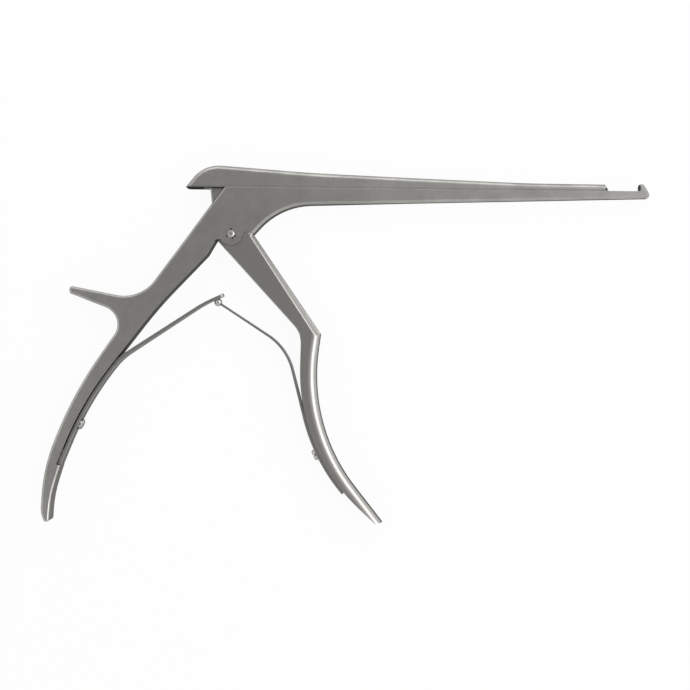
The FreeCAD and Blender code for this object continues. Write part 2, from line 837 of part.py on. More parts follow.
def make_front_handle():
    """The lever: grip, knee, seat round the lobe, and the forked tongue through the head."""
    body = new_body("front_handle")
    seat = size["lobe_radius"] + size["lever_gap"]
    gap = size["lever_gap"]
    start, knee, bend, end, centre = lever_lines()
    back_angle = -size["lever_back_angle"]

    stop_root = point(size["stop_root_x"], size["stop_root_y"])
    neck_corner = point(size["neck_corner_x"], size["neck_corner_y"])
    land_angle = angle_of(neck_corner - stop_root)
    land = stop_root + direction(land_angle - 90) * gap
    lobe_front = direction(size["lobe_front_angle"])
    lobe_side = angle_of(stop_root - lobe_front * size["lobe_radius"])
    land_root = meet(land, land_angle, lobe_front * seat, lobe_side)
    land_end = meet(land, land_angle, point(size["lever_corner_x"], 0), 90)
    shoulder_angle = size["lever_shoulder_angle"]
    shoulder = meet(point(0, 0), shoulder_angle, start, back_angle)
    knee_front = point(size["lever_knee_x"], size["lever_knee_y"])
    end_front = point(size["lever_end_front_x"], size["lever_end_front_y"])
    front = point(size["lever_front_x"], size["lever_front_y"])
    margin = size["cut_margin"]
    low = end.y - size["thickness"]
    blank_low = meet(knee, angle_of(bend - knee), point(0, low), 0)
    blank_front = meet(front, angle_of(end_front - front), point(0, low), 0)
    corners = [
        corner(lobe_front * seat),
        corner(direction(shoulder_angle) * seat),
        corner(shoulder),
        corner(knee, size["lever_knee_inner_radius"]),
        corner(blank_low),
        corner(blank_front),
        corner(front, size["lever_front_radius"]),
        corner(knee_front),
        corner(land_end),
        corner(land_root, size["stop_root_radius"] - gap),
    ]
    side = draw(body, "lever_outline", corners, {0: point(0, 0)})
    extrude(body, "Pad", side, "Sizes.thickness", "lever_stock")

    def grip_edge(edge):
        place = middle_of(edge)
        flat = min(place.z, size["thickness"] - place.z) < 1e-4
        inner = meet(place, 0, knee, angle_of(bend - knee)).x
        return flat and blank_low.y < place.y < knee_front.y and place.x > inner + margin

    dress(body, "Fillet", "grip_rounding", "grip_round", grip_edge)
    leave = centre + direction(angle_of(bend - knee) - 90) * size["lever_inner_radius"]
    beyond = point(blank_front.x + margin, 0)
    trim = draw(body, "grip_trim", [
        corner(leave),
        corner(bend, size["lever_inner_radius"]),
        corner(end, size["lever_end_radius"]),
        corner(end_front),
        corner(point(beyond.x, end_front.y)),
        corner(point(beyond.x, blank_low.y - margin)),
        corner(point(blank_low.x - margin, blank_low.y - margin)),
        corner(point(blank_low.x - margin, leave.y)),
    ])
    extrude(body, "Pocket", trim, "Sizes.thickness", "grip_trim_cut", reverse=True)
    bevel_thigh(body, land_end, knee_front)

    lean = half_swing
    axis = direction(90 + lean)
    right = direction(lean)
    back_top = meet(axis * size["fork_top"], lean,
                    point(size["tongue_back_x"], 0), 90 + size["tongue_back_angle"])
    elbow = meet(start, back_angle,
                 point(size["tongue_back_x"], 0), 90 + size["tongue_back_angle"])
    root = meet(start, back_angle, point(0, size["tongue_root_y"]), 0)
    inside = point(size["tongue_front_x"], size["tongue_root_y"])
    tongue = draw(body, "tongue", [
        corner(root),
        corner(inside),
        corner(point(size["tongue_front_x"], size["tongue_front_y"])),
        corner(axis * size["fork_top"] + right * size["tongue_half_width"],
               size["tongue_top_radius"]),
        corner(back_top, size["tongue_top_radius"]),
        corner(elbow, size["tongue_elbow_radius"]),
    ], height="(Sizes.thickness - Sizes.tongue_thickness) / 2")
    extrude(body, "Pad", tongue, "Sizes.tongue_thickness", "tongue_stock")

    half_slot = size["drive_pin_radius"] + size["fork_clearance"]
    floor = size["fork_floor"]
    above = size["fork_top"] + size["thickness"]
    fork = draw(body, "fork", [
        corner(axis * floor - right * half_slot, size["drive_pin_radius"]),
        corner(axis * floor + right * half_slot, size["drive_pin_radius"]),
        corner(axis * above + right * half_slot),
        corner(axis * above - right * half_slot),
    ])
    extrude(body, "Pocket", fork, "Sizes.thickness", "fork_cut", reverse=True)
    ring(body, "lever_bore", "Sizes.pivot_radius + Sizes.running_fit", "Sizes.thickness")
    place, outward = front_screw_seat(size["screw_hole_play"])
    bore(body, "front_screw_hole", "Sizes.screw_radius + Sizes.screw_fit",
         "Sizes.screw_length - Sizes.front_leaf_thickness + 2 * Sizes.screw_hole_play",
         place, outward * -1)
    return body


def revolve(body, name, corners):
    """Turn a profile drawn in the XZ plane once round the body's own Z axis."""
    profile = draw(body, name, corners, plane="XZ_Plane")
    axis = [item for item in body.Origin.OriginFeatures if item.Role == "Z_Axis"][0]
    turned = body.newObject("PartDesign::Revolution", name + "_turned")
    turned.Profile = profile
    turned.ReferenceAxis = (axis, [""])
    turned.Angle = 360
    profile.Visibility = False
    settle(profile, turned)
    return turned


def make_pivot_screw():
    """The lever's axle: countersunk head below, journal, and a riveted end with a bevel."""
    body = new_body("pivot_screw")
    sunk = size["pivot_recess"]
    head = size["pivot_head_height"]
    slope = (size["pivot_head_radius"] - size["pivot_radius"]) / head
    rim = size["pivot_head_radius"] - slope * sunk - size["running_fit"]
    fit = size["running_fit"]
    shoulder = middle + size["tongue_thickness"] / 2
    top = size["thickness"]
    end = size["pivot_end_radius"]
    dome = top + size["pivot_dome"]
    corners = [
        corner(point(0, sunk)),
        corner(point(rim, sunk)),
        corner(point(size["pivot_radius"], head - fit / slope)),
        corner(point(size["pivot_radius"], shoulder)),
        corner(point(end, shoulder)),
        corner(point(end, top)),
        corner(point(end - size["pivot_dome_inset"], dome)),
        corner(point(0, dome)),
    ]
    revolve(body, "pivot_profile", corners)
    half = size["pivot_slot_width"] / 2
    reach = size["pivot_head_radius"] + size["cut_margin"]
    slot = draw(body, "pivot_slot", [corner(point(-reach, -half)), corner(point(reach, -half)),
                                     corner(point(reach, half)), corner(point(-reach, half))])
    extrude(body, "Pocket", slot, "Sizes.pivot_recess + Sizes.pivot_slot_depth",
            "pivot_slot_cut", reverse=True)
    return body


def make_leaf_screw(name, seat, leaf, slot_turn):
    """A slotted screw with a bevelled head that stands on a leaf, drawn along its own Z axis."""
    body = new_body(name)
    head = size["screw_head_radius"]
    top = size["screw_head_height"]
    bevel = size["screw_head_bevel"]
    revolve(body, name + "_profile", [
        corner(point(0, -size["screw_length"])),
        corner(point(size["screw_radius"], -size["screw_length"])),
        corner(point(size["screw_radius"], 0)),
        corner(point(head, 0)),
        corner(point(head, top - bevel)),
        corner(point(head - bevel, top)),
        corner(point(0, top)),
    ])
    half = size["screw_slot_width"] / 2
    reach = head + size["cut_margin"]
    slot = draw(body, name + "_slot",
                [corner(point(-reach, -half)), corner(point(reach, -half)),
                 corner(point(reach, half)), corner(point(-reach, half))],
                height="Sizes.screw_head_height")
    extrude(body, "Pocket", slot, "Sizes.screw_slot_depth", name + "_slot_cut")
    place, outward = seat(size["leaf_gap"] + leaf + size["leaf_gap"] / 2)
    stand = FreeCAD.Rotation(FreeCAD.Vector(0, 0, 1), outward.cross(FreeCAD.Vector(0, 0, 1)),
                             outward, "ZXY")
    spin = FreeCAD.Rotation(FreeCAD.Vector(0, 0, 1), slot_turn)
    body.Placement = FreeCAD.Placement(place, stand * spin)
    return body


def thin_leaf(body, name, angle, start, finish, root_width, tip_width):
    """Taper a leaf across its width, between two places along its run."""
    along = direction(angle)
    first = start.dot(along)
    last = finish.dot(along)
    top = size["thickness"]
    slope = (tip_width - root_width) / 2 / (last - first)
    ahead = 1.0 if last > first else -1.0
    beyond = last + ahead * size["thickness"]
    end_half = root_width / 2 + slope * (beyond - first)
    upper = [point(first, middle + root_width / 2), point(beyond, middle + end_half),
             point(beyond, top + size["cut_margin"]), point(first, top + size["cut_margin"])]
    turned = FreeCAD.Placement(FreeCAD.Vector(0, 0, 0),
                               FreeCAD.Rotation(FreeCAD.Vector(0, 1, 0), angle))
    for side, places in (("upper", upper), ("lower", [point(p.x, top - p.y) for p in upper])):
        wedge = draw(body, f"{name}_{side}_wedge", [corner(p) for p in places],
                     plane="XZ_Plane", offset=turned)
        extrude(body, "Pocket", wedge, "through", f"{name}_{side}_thinning", midplane=True)


def make_rear_leaf():
    """The rear leaf: bedded on the handle's seat, bent off it, with a socket in its tip."""
    body = new_body("rear_leaf_spring")
    thick = size["rear_leaf_thickness"]
    thin = size["rear_leaf_tip_thickness"]
    gap = size["leaf_gap"]
    rise = size["rear_leaf_rise_angle"]
    tip_angle = size["rear_leaf_tip_angle"]
    ball = point(size["ball_x"], size["ball_y"])
    clear_ball = size["ball_radius"] + size["socket_clearance"]
    depth = math.sqrt(clear_ball ** 2 - size["socket_radius"] ** 2)

    def face(side):
        """Corners of one face of the leaf, from its root to its tip: side is -1 for the face
        on the handle and 1 for the outer one."""
        distance = gap + thick / 2 * (1 + side)
        vertex, upper_angle, lower_angle, radius = seat_offset(distance)
        end = seat_end(distance, size["rear_seat_length"] - gap)
        middle_seat = seat_offset(gap + thick / 2)
        lift_off = seat_reach(middle_seat) + size["rear_leaf_lift_off"]
        bend = middle_seat[0] + direction(upper_angle) * lift_off
        over = ball + direction(tip_angle + 90) * (depth + thin / 2)
        reach = meet(bend, rise, over, tip_angle)
        bend_line = bend + direction(rise - 90) * (side * thick / 2)
        reach_line = reach + direction(rise - 90) * (side * thin / 2)
        run_angle = angle_of(reach_line - bend_line)
        bend_corner = meet(vertex, upper_angle, bend_line, run_angle)
        tip_line = over + direction(tip_angle - 90) * (side * thin / 2)
        reach_corner = meet(bend_line, run_angle, tip_line, tip_angle)
        tip = tip_line + direction(tip_angle) * size["rear_leaf_tip_overhang"]
        bend_radius = size["rear_leaf_bend_radius"] - side * thick / 2
        reach_radius = size["rear_leaf_reach_radius"] - side * thin / 2
        return [corner(end), corner(vertex, radius), corner(bend_corner, bend_radius),
                corner(reach_corner, reach_radius), corner(tip)]

    inner = face(-1)
    outer = face(1)
    side = draw(body, "rear_leaf_outline", inner + outer[::-1])
    widest = "(Sizes.thickness - Sizes.rear_leaf_width) / 2"
    side.setExpression("AttachmentOffset.Base.z", widest)
    extrude(body, "Pad", side, "Sizes.rear_leaf_width", "rear_leaf_stock")
    thin_leaf(body, "rear_leaf", rise, inner[2][0], inner[4][0],
              size["rear_leaf_width"], size["rear_leaf_tip_width"])

    tip = (inner[4][0] + outer[4][0]) / 2

    def tip_edge(edge):
        place = middle_of(edge)
        near = point(place.x, place.y).distanceToPoint(tip) < 0.1
        return near and abs(place.z - middle) > size["rear_leaf_tip_width"] / 4

    dress(body, "Fillet", "rear_leaf_tip_rounding", "rear_leaf_tip_radius", tip_edge)
    bore(body, "socket_hole", "Sizes.socket_radius", "2 * Sizes.ball_radius",
         across(ball.x, ball.y), direction(tip_angle + 90))
    place, outward = rear_screw_seat(-size["thickness"] / 2)
    bore(body, "rear_leaf_hole", "Sizes.screw_radius + Sizes.screw_hole_play",
         "Sizes.thickness", place, outward)
    return body


def make_front_leaf():
    """The front leaf: bedded on the lever's round seat, bent over to meet the rear leaf."""
    body = new_body("front_leaf_spring")
    thick = size["front_leaf_thickness"]
    thin = size["front_leaf_tip_thickness"]
    gap = size["leaf_gap"]
    centre = lever_lines()[4]
    ball = point(size["ball_x"], size["ball_y"])
    fall = -size["front_leaf_fall_angle"]
    lift = direction(size["front_leaf_lift_angle"])
    lift_angle = size["front_leaf_lift_angle"] - 90
    root = direction(size["front_leaf_root_angle"])
    base = size["lever_inner_radius"] + gap
    tip_start = ball + direction(fall) * (size["ball_radius"] + size["socket_clearance"])

    def face(side):
        """Corners of one face, from its root to its tip: side is -1 on the lever."""
        radius = base + thick / 2 * (1 + side)
        leave = centre + lift * radius
        tip = tip_start + direction(fall - 90) * (side * thin / 2)
        near_bend = meet(leave, lift_angle, ball, fall)
        line = near_bend + direction(fall - 90) * (side * (thick + thin) / 4)
        run_angle = angle_of(line - tip)
        bend = meet(leave, lift_angle, tip, run_angle)
        bend_radius = size["front_leaf_bend_radius"] + side * (thick + thin) / 4
        return [corner(centre + root * radius), corner(leave), corner(bend, bend_radius),
                corner(tip)]

    inner = face(-1)
    outer = face(1)
    corners = inner + outer[::-1]
    side = draw(body, "front_leaf_outline", corners, {0: centre, len(corners) - 2: centre})
    widest = "(Sizes.thickness - Sizes.front_leaf_width) / 2"
    side.setExpression("AttachmentOffset.Base.z", widest)
    extrude(body, "Pad", side, "Sizes.front_leaf_width", "front_leaf_stock")
    thin_leaf(body, "front_leaf", 180 + fall, inner[1][0], inner[3][0],
              size["front_leaf_width"], size["front_leaf_tip_width"])
    place, outward = front_screw_seat(-size["thickness"] / 2)
    bore(body, "front_leaf_hole", "Sizes.screw_radius + Sizes.screw_hole_play",
         "Sizes.thickness", place, outward)
    return body


def make_drive_pin():
    """The cross pin in the slide, ground just under flush with both of its sides."""
    pin = doc.addObject("Part::Cylinder", "drive_pin")
    pin.Label = "drive_pin"
    pin.setExpression("Radius", "Sizes.drive_pin_radius")
    pin.setExpression("Height", "Sizes.thickness - 2 * Sizes.drive_pin_recess")
    pin.setExpression("Placement.Base.x", "-Sizes.travel / 2")
    pin.setExpression("Placement.Base.y", "Sizes.drive_height")
    pin.setExpression("Placement.Base.z", "Sizes.drive_pin_recess")
    return pin


def make_spring_ball():
    """The ball on the front leaf's tip, which turns in the rear leaf's socket."""
    ball = doc.addObject("Part::Sphere", "spring_ball")
    ball.Label = "spring_ball"
    ball.setExpression("Radius", "Sizes.ball_radius")
    ball.setExpression("Placement.Base.x", "Sizes.ball_x")
    ball.setExpression("Placement.Base.y", "Sizes.ball_y")
    ball.setExpression("Placement.Base.z", "Sizes.middle")
    return ball


pieces = [
    make_frame(),
    make_slide(),
    make_front_handle(),
    make_pivot_screw(),
    make_drive_pin(),
    make_rear_leaf(),
    make_front_leaf(),
    make_spring_ball(),
    make_leaf_screw("rear_leaf_screw", rear_screw_seat, size["rear_leaf_thickness"],
                    size["rear_screw_slot_angle"]),
    make_leaf_screw("front_leaf_screw", front_screw_seat, size["front_leaf_thickness"],
                    size["front_screw_slot_angle"]),
]
doc.recompute()

for item in doc.Objects:
    if "Invalid" in item.State or "Error" in item.State:
        raise RuntimeError(f"{item.Name} did not build: {item.State}")
for piece in pieces:
    if piece.Shape.isNull() or not piece.Shape.isValid():
        raise RuntimeError(f"{piece.Label} has no sound shape")

os.makedirs("parts", exist_ok=True)
for piece in pieces:
    piece.Shape.exportStep(f"parts/{piece.Label}.step")
    print(piece.Label, len(piece.Shape.Solids), round(piece.Shape.Volume, 2), piece.Shape.BoundBox)
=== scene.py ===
import math

import bpy
from bpy.props import FloatProperty, FloatVectorProperty, PointerProperty
from mathutils import Matrix, Vector


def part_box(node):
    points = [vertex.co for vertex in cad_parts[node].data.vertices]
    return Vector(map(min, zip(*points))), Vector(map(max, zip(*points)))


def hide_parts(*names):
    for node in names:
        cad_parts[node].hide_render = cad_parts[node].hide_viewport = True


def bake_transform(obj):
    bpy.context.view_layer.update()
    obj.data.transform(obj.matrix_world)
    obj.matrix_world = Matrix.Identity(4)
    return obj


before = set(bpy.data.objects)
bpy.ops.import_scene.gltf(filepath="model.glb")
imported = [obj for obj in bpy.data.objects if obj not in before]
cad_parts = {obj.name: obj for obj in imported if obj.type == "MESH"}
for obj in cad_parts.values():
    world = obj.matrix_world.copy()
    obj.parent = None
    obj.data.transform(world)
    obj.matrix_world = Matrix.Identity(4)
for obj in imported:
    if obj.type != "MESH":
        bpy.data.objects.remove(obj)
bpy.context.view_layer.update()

bl_info = {
    "name": "Kerrison Rongeur",
    "version": (1, 0, 0),
    "blender": (4, 5, 0),
    "location": "View3D > Sidebar > Rongeur",
    "description": "Dresses a satin steel kerrison rongeur: finishes, leaf springs and studio",
    "category": "Object",
}

MM = 0.001

# Places: the middle of the thickness, and how far north of the pivot the others lie
MIDDLE = 5.0 * MM
SPLIT = 21.5 * MM
GRAIN_TURNS = 2.0 * MM
KNEE = -47.0 * MM
LEAF_LEAVES = -59.0 * MM
TOE = -100.0 * MM

# Pivot: its seam, and the pits that stake its riveted end, both darkened with painted shade
PIVOT = (0.0, 0.0)
SEAM_REACH = 8.0 * MM
SEAM_PAINTED_SHADE = 0.93
SEAM_WORN = 0.25
STAKES = (90, 210, 290, 330)
STAKE_DISTANCE = 2.15 * MM
STAKE_PIT = (0.30 * MM, 0.52 * MM)
STAKE_PIT_SHADE = 0.92

# Slide: its worn crown, and the painted shade along the line where it meets the lower shaft and
# in the bite at its front
CROWN_STARTS = (SPLIT - 0.7 * MM, SPLIT + 1.1 * MM)
SPLIT_WORN = 0.25
SPLIT_LINE = (SPLIT + 0.30 * MM, SPLIT + 0.55 * MM)
SPLIT_SHADE_KEPT = 0.55
BITE_BACK = 0.80 * MM
BITE_RISE = 0.90 * MM
BITE_RIM = (0.40 * MM, 0.75 * MM)
BITE_SHADE_KEPT = 0.04
PIN_REACH = 2.7 * MM

# Frame: painted shade in the dark slit behind the rear leaf, and painted light on the inner
# side of the toe
SLIT_FACING = 0.6
SLIT_PAINTED_SHADE = 0.75
TOE_FACING = (0.3, 0.9)
TOE_PAINTED_LIGHT = 0.55

# Grain: scales of the noises, and the most by which they shift tone and roughness
BLAST_SCALE = 5200.0
CLOUD_SCALE = 90.0
DENT_SCALE = 1100.0
NOISE_SPAN = (0.3, 0.7)
LINES_SHARE = 0.65
FINE_SHIFT = 0.05
CLOUD_SHIFT = 0.18
ROUGH_SHIFT = 0.04
TURN_REACH = 6.0 * MM
GRAIN_DEPTH = 0.02 * MM

# Edges: where the bevelled normal parts from the flat one, what the polish does there, and how
# much paler the painted highlight on worn edges is
EDGE_LIKENESS = (0.995, 0.86)
EDGE_HIGHLIGHT_PALER = 1.9
EDGE_POLISH = 0.10
# Painted shade: the lean of the normal over which steep sides turn darker than flats
PAINTED_SHADE_LEAN = (0.30, 0.68)

# A colour Mix node's two colour sockets, which share their names with other sockets
COLOUR_A = 6
COLOUR_B = 7

# Leaf springs: the rear one's round tip, the hole in it, and the ball that sits there
TIP_ROUND = 1.9 * MM
HOLE_FACING = math.radians(115.0)
BALL_RADIUS = 1.85 * MM
LEAF_CREASE = math.radians(50)
HOLE_CREASE = math.radians(40)

# Studio: strip lamps with their power setting, size, place and target from the aim
LAMPS = {
    "back_strip": ("back", (0.90, 0.24), (0.0, 0.70, 0.50), (0.0, 0.0, 0.0)),
    "side_strip": ("side", (1.30, 0.52), (0.76, 0.18, 0.54), (0.0, 0.18, 0.0)),
    "fill_strip": ("fill", (0.70, 0.14), (-0.80, 0.10, 0.45), (0.0, 0.0, 0.0)),
}

# Studio: brightness of the grey cards from end to end, and of the floor and the room
FLAG_CHANGES = (-0.02, 0.16)
WALL_RADIUS = 1.15
WALL_FOOT = 0.02
WALL_TOP = 0.95
WALL_FACES = 48
SOUTH_TO_NORTH = (0.16, 0.20)
WEST_TO_EAST = (-0.20, -0.04)
LOW_TO_HIGH = (-0.10, 0.10)
FLOOR_GAP = 0.02 * MM
FLOOR_GLOW = 0.94
ROOM_LIGHT = 0.75
FACING_UP = (0, 1, 2, 3)
FACING_DOWN = (0, 3, 2, 1)


# Settings

class RongeurSteel(bpy.types.PropertyGroup):
    """Finish of the steel pieces."""

    forging: FloatVectorProperty(
        name="Forging", description="Colour of the frame, the slide and the lever",
        subtype="COLOR", min=0.0, max=1.0, default=(0.50, 0.49, 0.465))
    spring: FloatVectorProperty(
        name="Spring", description="Colour of the two leaf springs",
        subtype="COLOR", min=0.0, max=1.0, default=(0.47, 0.462, 0.44))
    screw: FloatVectorProperty(
        name="Screw", description="Colour of the screws, the pins and the ball",
        subtype="COLOR", min=0.0, max=1.0, default=(0.60, 0.59, 0.565))
    satin: FloatProperty(
        name="Satin", description="Roughness of the satin finish",
        min=0.05, max=0.9, default=0.34)
    turned: FloatProperty(
        name="Turned", description="Roughness of the turned and polished pieces",
        min=0.05, max=0.9, default=0.22)
    grain_width: FloatProperty(
        name="Grain width", description="Width of one brushed line",
        unit="LENGTH", default=0.16 * MM)
    grain_length: FloatProperty(
        name="Grain length", description="Length of one brushed line",
        unit="LENGTH", default=4.5 * MM)
    edge_width: FloatProperty(
        name="Edge width", description="How far the polish of a worn edge reaches",
        unit="LENGTH", default=0.35 * MM)


class RongeurLeaves(bpy.types.PropertyGroup):
    """Sizes of the two leaf springs."""

    rear_thickness: FloatProperty(
        name="Rear thickness", description="Thickness of the rear leaf at its root",
        unit="LENGTH", default=1.7 * MM)
    rear_tip_thickness: FloatProperty(
        name="Rear tip thickness", description="Thickness of the rear leaf at its tip",
        unit="LENGTH", default=1.35 * MM)
    rear_width: FloatProperty(
        name="Rear width", description="Width of the rear leaf at its root",
        unit="LENGTH", default=7.0 * MM)
    rear_tip_width: FloatProperty(
        name="Rear tip width", description="Width of the rear leaf at its tip",
        unit="LENGTH", default=4.6 * MM)
    front_thickness: FloatProperty(
        name="Front thickness", description="Thickness of the front leaf at its root",
        unit="LENGTH", default=1.3 * MM)
    front_tip_thickness: FloatProperty(
        name="Front tip thickness", description="Thickness of the front leaf at its tip",
        unit="LENGTH", default=1.0 * MM)
    front_width: FloatProperty(
        name="Front width", description="Width of the front leaf at its root",
        unit="LENGTH", default=7.0 * MM)
    front_tip_width: FloatProperty(
        name="Front tip width", description="Width of the front leaf at its tip",
        unit="LENGTH", default=3.2 * MM)
    step: FloatProperty(
        name="Step", description="Distance between two cross sections of a leaf",
        unit="LENGTH", default=0.45 * MM)
    edge: FloatProperty(
        name="Edge", description="Rounding along the leaves' edges",
        unit="LENGTH", default=0.22 * MM)
    socket: FloatProperty(
        name="Socket", description="Radius of the socket hole in the rear leaf's tip",
        unit="LENGTH", default=1.25 * MM)


class RongeurStudio(bpy.types.PropertyGroup):
    """Floor, lamps and camera."""

    height: FloatProperty(
        name="Camera height", description="Camera above the surface the instrument lies on",
        unit="LENGTH", default=0.510)
    centre: FloatVectorProperty(
        name="Camera centre", description="Place that the camera looks straight down on",
        size=2, unit="LENGTH", default=(0.05293, -0.05079))
    roll: FloatProperty(
        name="Camera roll", description="Turn of the camera about its own line of sight",
        unit="ROTATION", default=math.radians(0.5))
    lens: FloatProperty(
        name="Lens", description="Focal length on a 36 mm wide sensor", default=56.71)
    fill: FloatProperty(
        name="Fill", description="Power of the weak strip light at the spur's side, in watts",
        default=0.2)
    back: FloatProperty(
        name="Back", description="Power of the strip light behind the shaft, in watts",
        default=0.8)
    side: FloatProperty(
        name="Side", description="Power of the strip light at the tip's side, in watts",
        default=3.4)
    flag_size: FloatProperty(
        name="Flag", description="Length of the grey card's side above the instrument",
        unit="LENGTH", default=0.9)
    flag_height: FloatProperty(
        name="Flag height", description="Height of the grey card", unit="LENGTH", default=0.75)
    flag_dark: FloatProperty(
        name="Flag dark", description="Brightness of the card over the handles", default=0.24)
    flag_pale: FloatProperty(
        name="Flag pale", description="Brightness of the card over the tip", default=0.47)
    wall_grey: FloatProperty(
        name="Wall grey", description="Mean brightness of the low grey cards round the set",
        default=0.60)
    floor_size: FloatProperty(
        name="Floor", description="Length of the floor's side", unit="LENGTH", default=12.0)


# Shader helpers

class Wires:
    """Adds nodes to a tree and links them by their socket names."""

    def __init__(self, tree):
        self.tree = tree

    def add(self, kind, inputs=None, **settings):
        node = self.tree.nodes.new(kind)
        for name, value in settings.items():
            setattr(node, name, value)
        for name, value in (inputs or {}).items():
            self.set(node, name, value)
        return node

    def set(self, node, name, value):
        socket = node.inputs[name]
        if isinstance(value, bpy.types.NodeSocket):
            self.tree.links.new(value, socket)
        else:
            socket.default_value = value

    def math(self, operation, first, second=0.0, clamp=False):
        node = self.add("ShaderNodeMath", {0: first, 1: second}, operation=operation)
        node.use_clamp = clamp
        return node.outputs[0]

    def ramp(self, value, low, high, to_low, to_high):
        node = self.add("ShaderNodeMapRange", {
            "Value": value, "From Min": low, "From Max": high,
            "To Min": to_low, "To Max": to_high})
        return node.outputs["Result"]

    def part(self, vector, axis):
        """One coordinate of a vector."""
        return self.add("ShaderNodeSeparateXYZ", {"Vector": vector}).outputs[axis]

    def scaled(self, vector, share):
        """A vector or a colour times a share."""
        return self.add("ShaderNodeVectorMath", {0: vector, "Scale": share},
                        operation="SCALE").outputs[0]

    def kept(self, mask, dark):
        """What a darkening mask leaves of a tone."""
        return self.math("SUBTRACT", 1.0, self.math("MULTIPLY", mask, dark))

    def stretched_noise(self, place, angle, width, length):
        """Noise drawn out along an angle in the XY plane, with the angle as a socket."""
        turned = self.add("ShaderNodeVectorRotate", {
            "Vector": place, "Axis": (0.0, 0.0, 1.0),
            "Angle": self.math("MULTIPLY", angle, -1.0)})
        across = 1.0 / width
        scaled = self.add("ShaderNodeVectorMath", {
            0: turned.outputs[0], 1: (1.0 / length, across, across)}, operation="MULTIPLY")
        noise = self.add("ShaderNodeTexNoise", {
            "Vector": scaled.outputs[0], "Scale": 1.0, "Detail": 2.0, "Roughness": 0.6})
        return noise.outputs["Fac"]

    def distance_from(self, place, axis):
        """Distance from an upright axis."""
        parts = self.add("ShaderNodeSeparateXYZ", {"Vector": place}).outputs
        east = self.math("SUBTRACT", parts["X"], axis[0])
        north = self.math("SUBTRACT", parts["Y"], axis[1])
        return self.math("SQRT", self.math("ADD", self.math("MULTIPLY", east, east),
                                           self.math("MULTIPLY", north, north)))


def new_material(name):
    """An empty material and the wires of its tree."""
    material = bpy.data.materials.new(name)
    material.use_nodes = True
    material.node_tree.nodes.clear()
    return material, Wires(material.node_tree)


def new_object(name, data):
    """An object that shows the data in the scene."""
    piece = bpy.data.objects.new(name, data)
    bpy.context.scene.collection.objects.link(piece)
    return piece


def toned(colour, share):
    """A colour made paler or darker by a share."""
    return tuple(min(1.0, part * share) for part in colour)


def new_group(name, inputs, outputs):
    """An empty shader group with its inputs and outputs: (name, kind, default)."""
    group = bpy.data.node_groups.new(name, "ShaderNodeTree")
    for label, kind, value in inputs:
        socket = group.interface.new_socket(
            name=label, in_out="INPUT", socket_type="NodeSocket" + kind)
        if value is not None:
            socket.default_value = value
    for label, kind in outputs:
        group.interface.new_socket(
            name=label, in_out="OUTPUT", socket_type="NodeSocket" + kind)
    return group


def satin_grain_group(steel):
    """Brushed lines along the shaft and along the handles, over a fine blasted grain."""
    group = new_group("satin_grain", [
        ("Place", "Vector", None),
        ("Tone", "Color", (0.3, 0.3, 0.3, 1.0)),
        ("Roughness", "Float", 0.34),
        ("Angle", "Float", 0.0),
        ("Second Angle", "Float", 0.0),
        ("Change Height", "Float", 0.0),
        ("Strength", "Float", 1.0),
    ], [("Color", "Color"), ("Roughness", "Float"), ("Height", "Float")])
    wires = Wires(group)
    given = wires.add("NodeGroupInput").outputs
    place = given["Place"]
    width = steel.grain_width
    length = steel.grain_length
    first = wires.stretched_noise(place, given["Angle"], width, length)
    second = wires.stretched_noise(place, given["Second Angle"], width, length)
    below = wires.math("SUBTRACT", given["Change Height"], wires.part(place, "Y"))
    share = wires.ramp(below, -TURN_REACH, TURN_REACH, 0.0, 1.0)
    lines = wires.add("ShaderNodeMix", {"Factor": share, "A": first, "B": second}).outputs[0]
    blasted = wires.add("ShaderNodeTexNoise", {
        "Vector": place, "Scale": BLAST_SCALE, "Detail": 2.0, "Roughness": 0.6}).outputs["Fac"]
    cloud = wires.add("ShaderNodeTexNoise", {
        "Vector": place, "Scale": CLOUD_SCALE, "Detail": 5.0, "Roughness": 0.65}).outputs["Fac"]
    fine = wires.math("ADD", wires.math("MULTIPLY", lines, LINES_SHARE),
                      wires.math("MULTIPLY", blasted, 1.0 - LINES_SHARE))
    height = wires.math("MULTIPLY", fine, given["Strength"])
    fine_shift = wires.ramp(fine, *NOISE_SPAN, -FINE_SHIFT, FINE_SHIFT)
    cloud_shift = wires.ramp(cloud, *NOISE_SPAN, -CLOUD_SHIFT, CLOUD_SHIFT)
    shift = wires.math("MULTIPLY", wires.math("ADD", fine_shift, cloud_shift),
                       given["Strength"])
    tone = wires.scaled(given["Tone"], wires.math("ADD", shift, 1.0))
    rough_shift = wires.math(
        "ADD", wires.ramp(fine, *NOISE_SPAN, ROUGH_SHIFT, -ROUGH_SHIFT),
        wires.ramp(cloud, *NOISE_SPAN, ROUGH_SHIFT, -ROUGH_SHIFT))
    rough = wires.math("ADD", given["Roughness"],
                       wires.math("MULTIPLY", rough_shift, given["Strength"]), clamp=True)
    wires.add("NodeGroupOutput", {"Color": tone, "Roughness": rough, "Height": height})
    return group


def worn_edge_group(steel):
    """Mask of the edges that handling has polished, and the softly rounded normal there. The
    steel material paints a highlight into the colour under this mask.
    """
    group = new_group("worn_edge", [("Width", "Float", steel.edge_width)],
                      [("Mask", "Float"), ("Normal", "Vector")])
    wires = Wires(group)
    given = wires.add("NodeGroupInput").outputs
    bevel = wires.add("ShaderNodeBevel", {"Radius": given["Width"]}, samples=16)
    flat = wires.add("ShaderNodeNewGeometry").outputs["Normal"]
    likeness = wires.add("ShaderNodeVectorMath", {
        0: bevel.outputs[0], 1: flat}, operation="DOT_PRODUCT").outputs["Value"]
    mask = wires.ramp(likeness, *EDGE_LIKENESS, 0.0, 1.0)
    wires.add("NodeGroupOutput", {"Mask": mask, "Normal": bevel.outputs[0]})
    return group


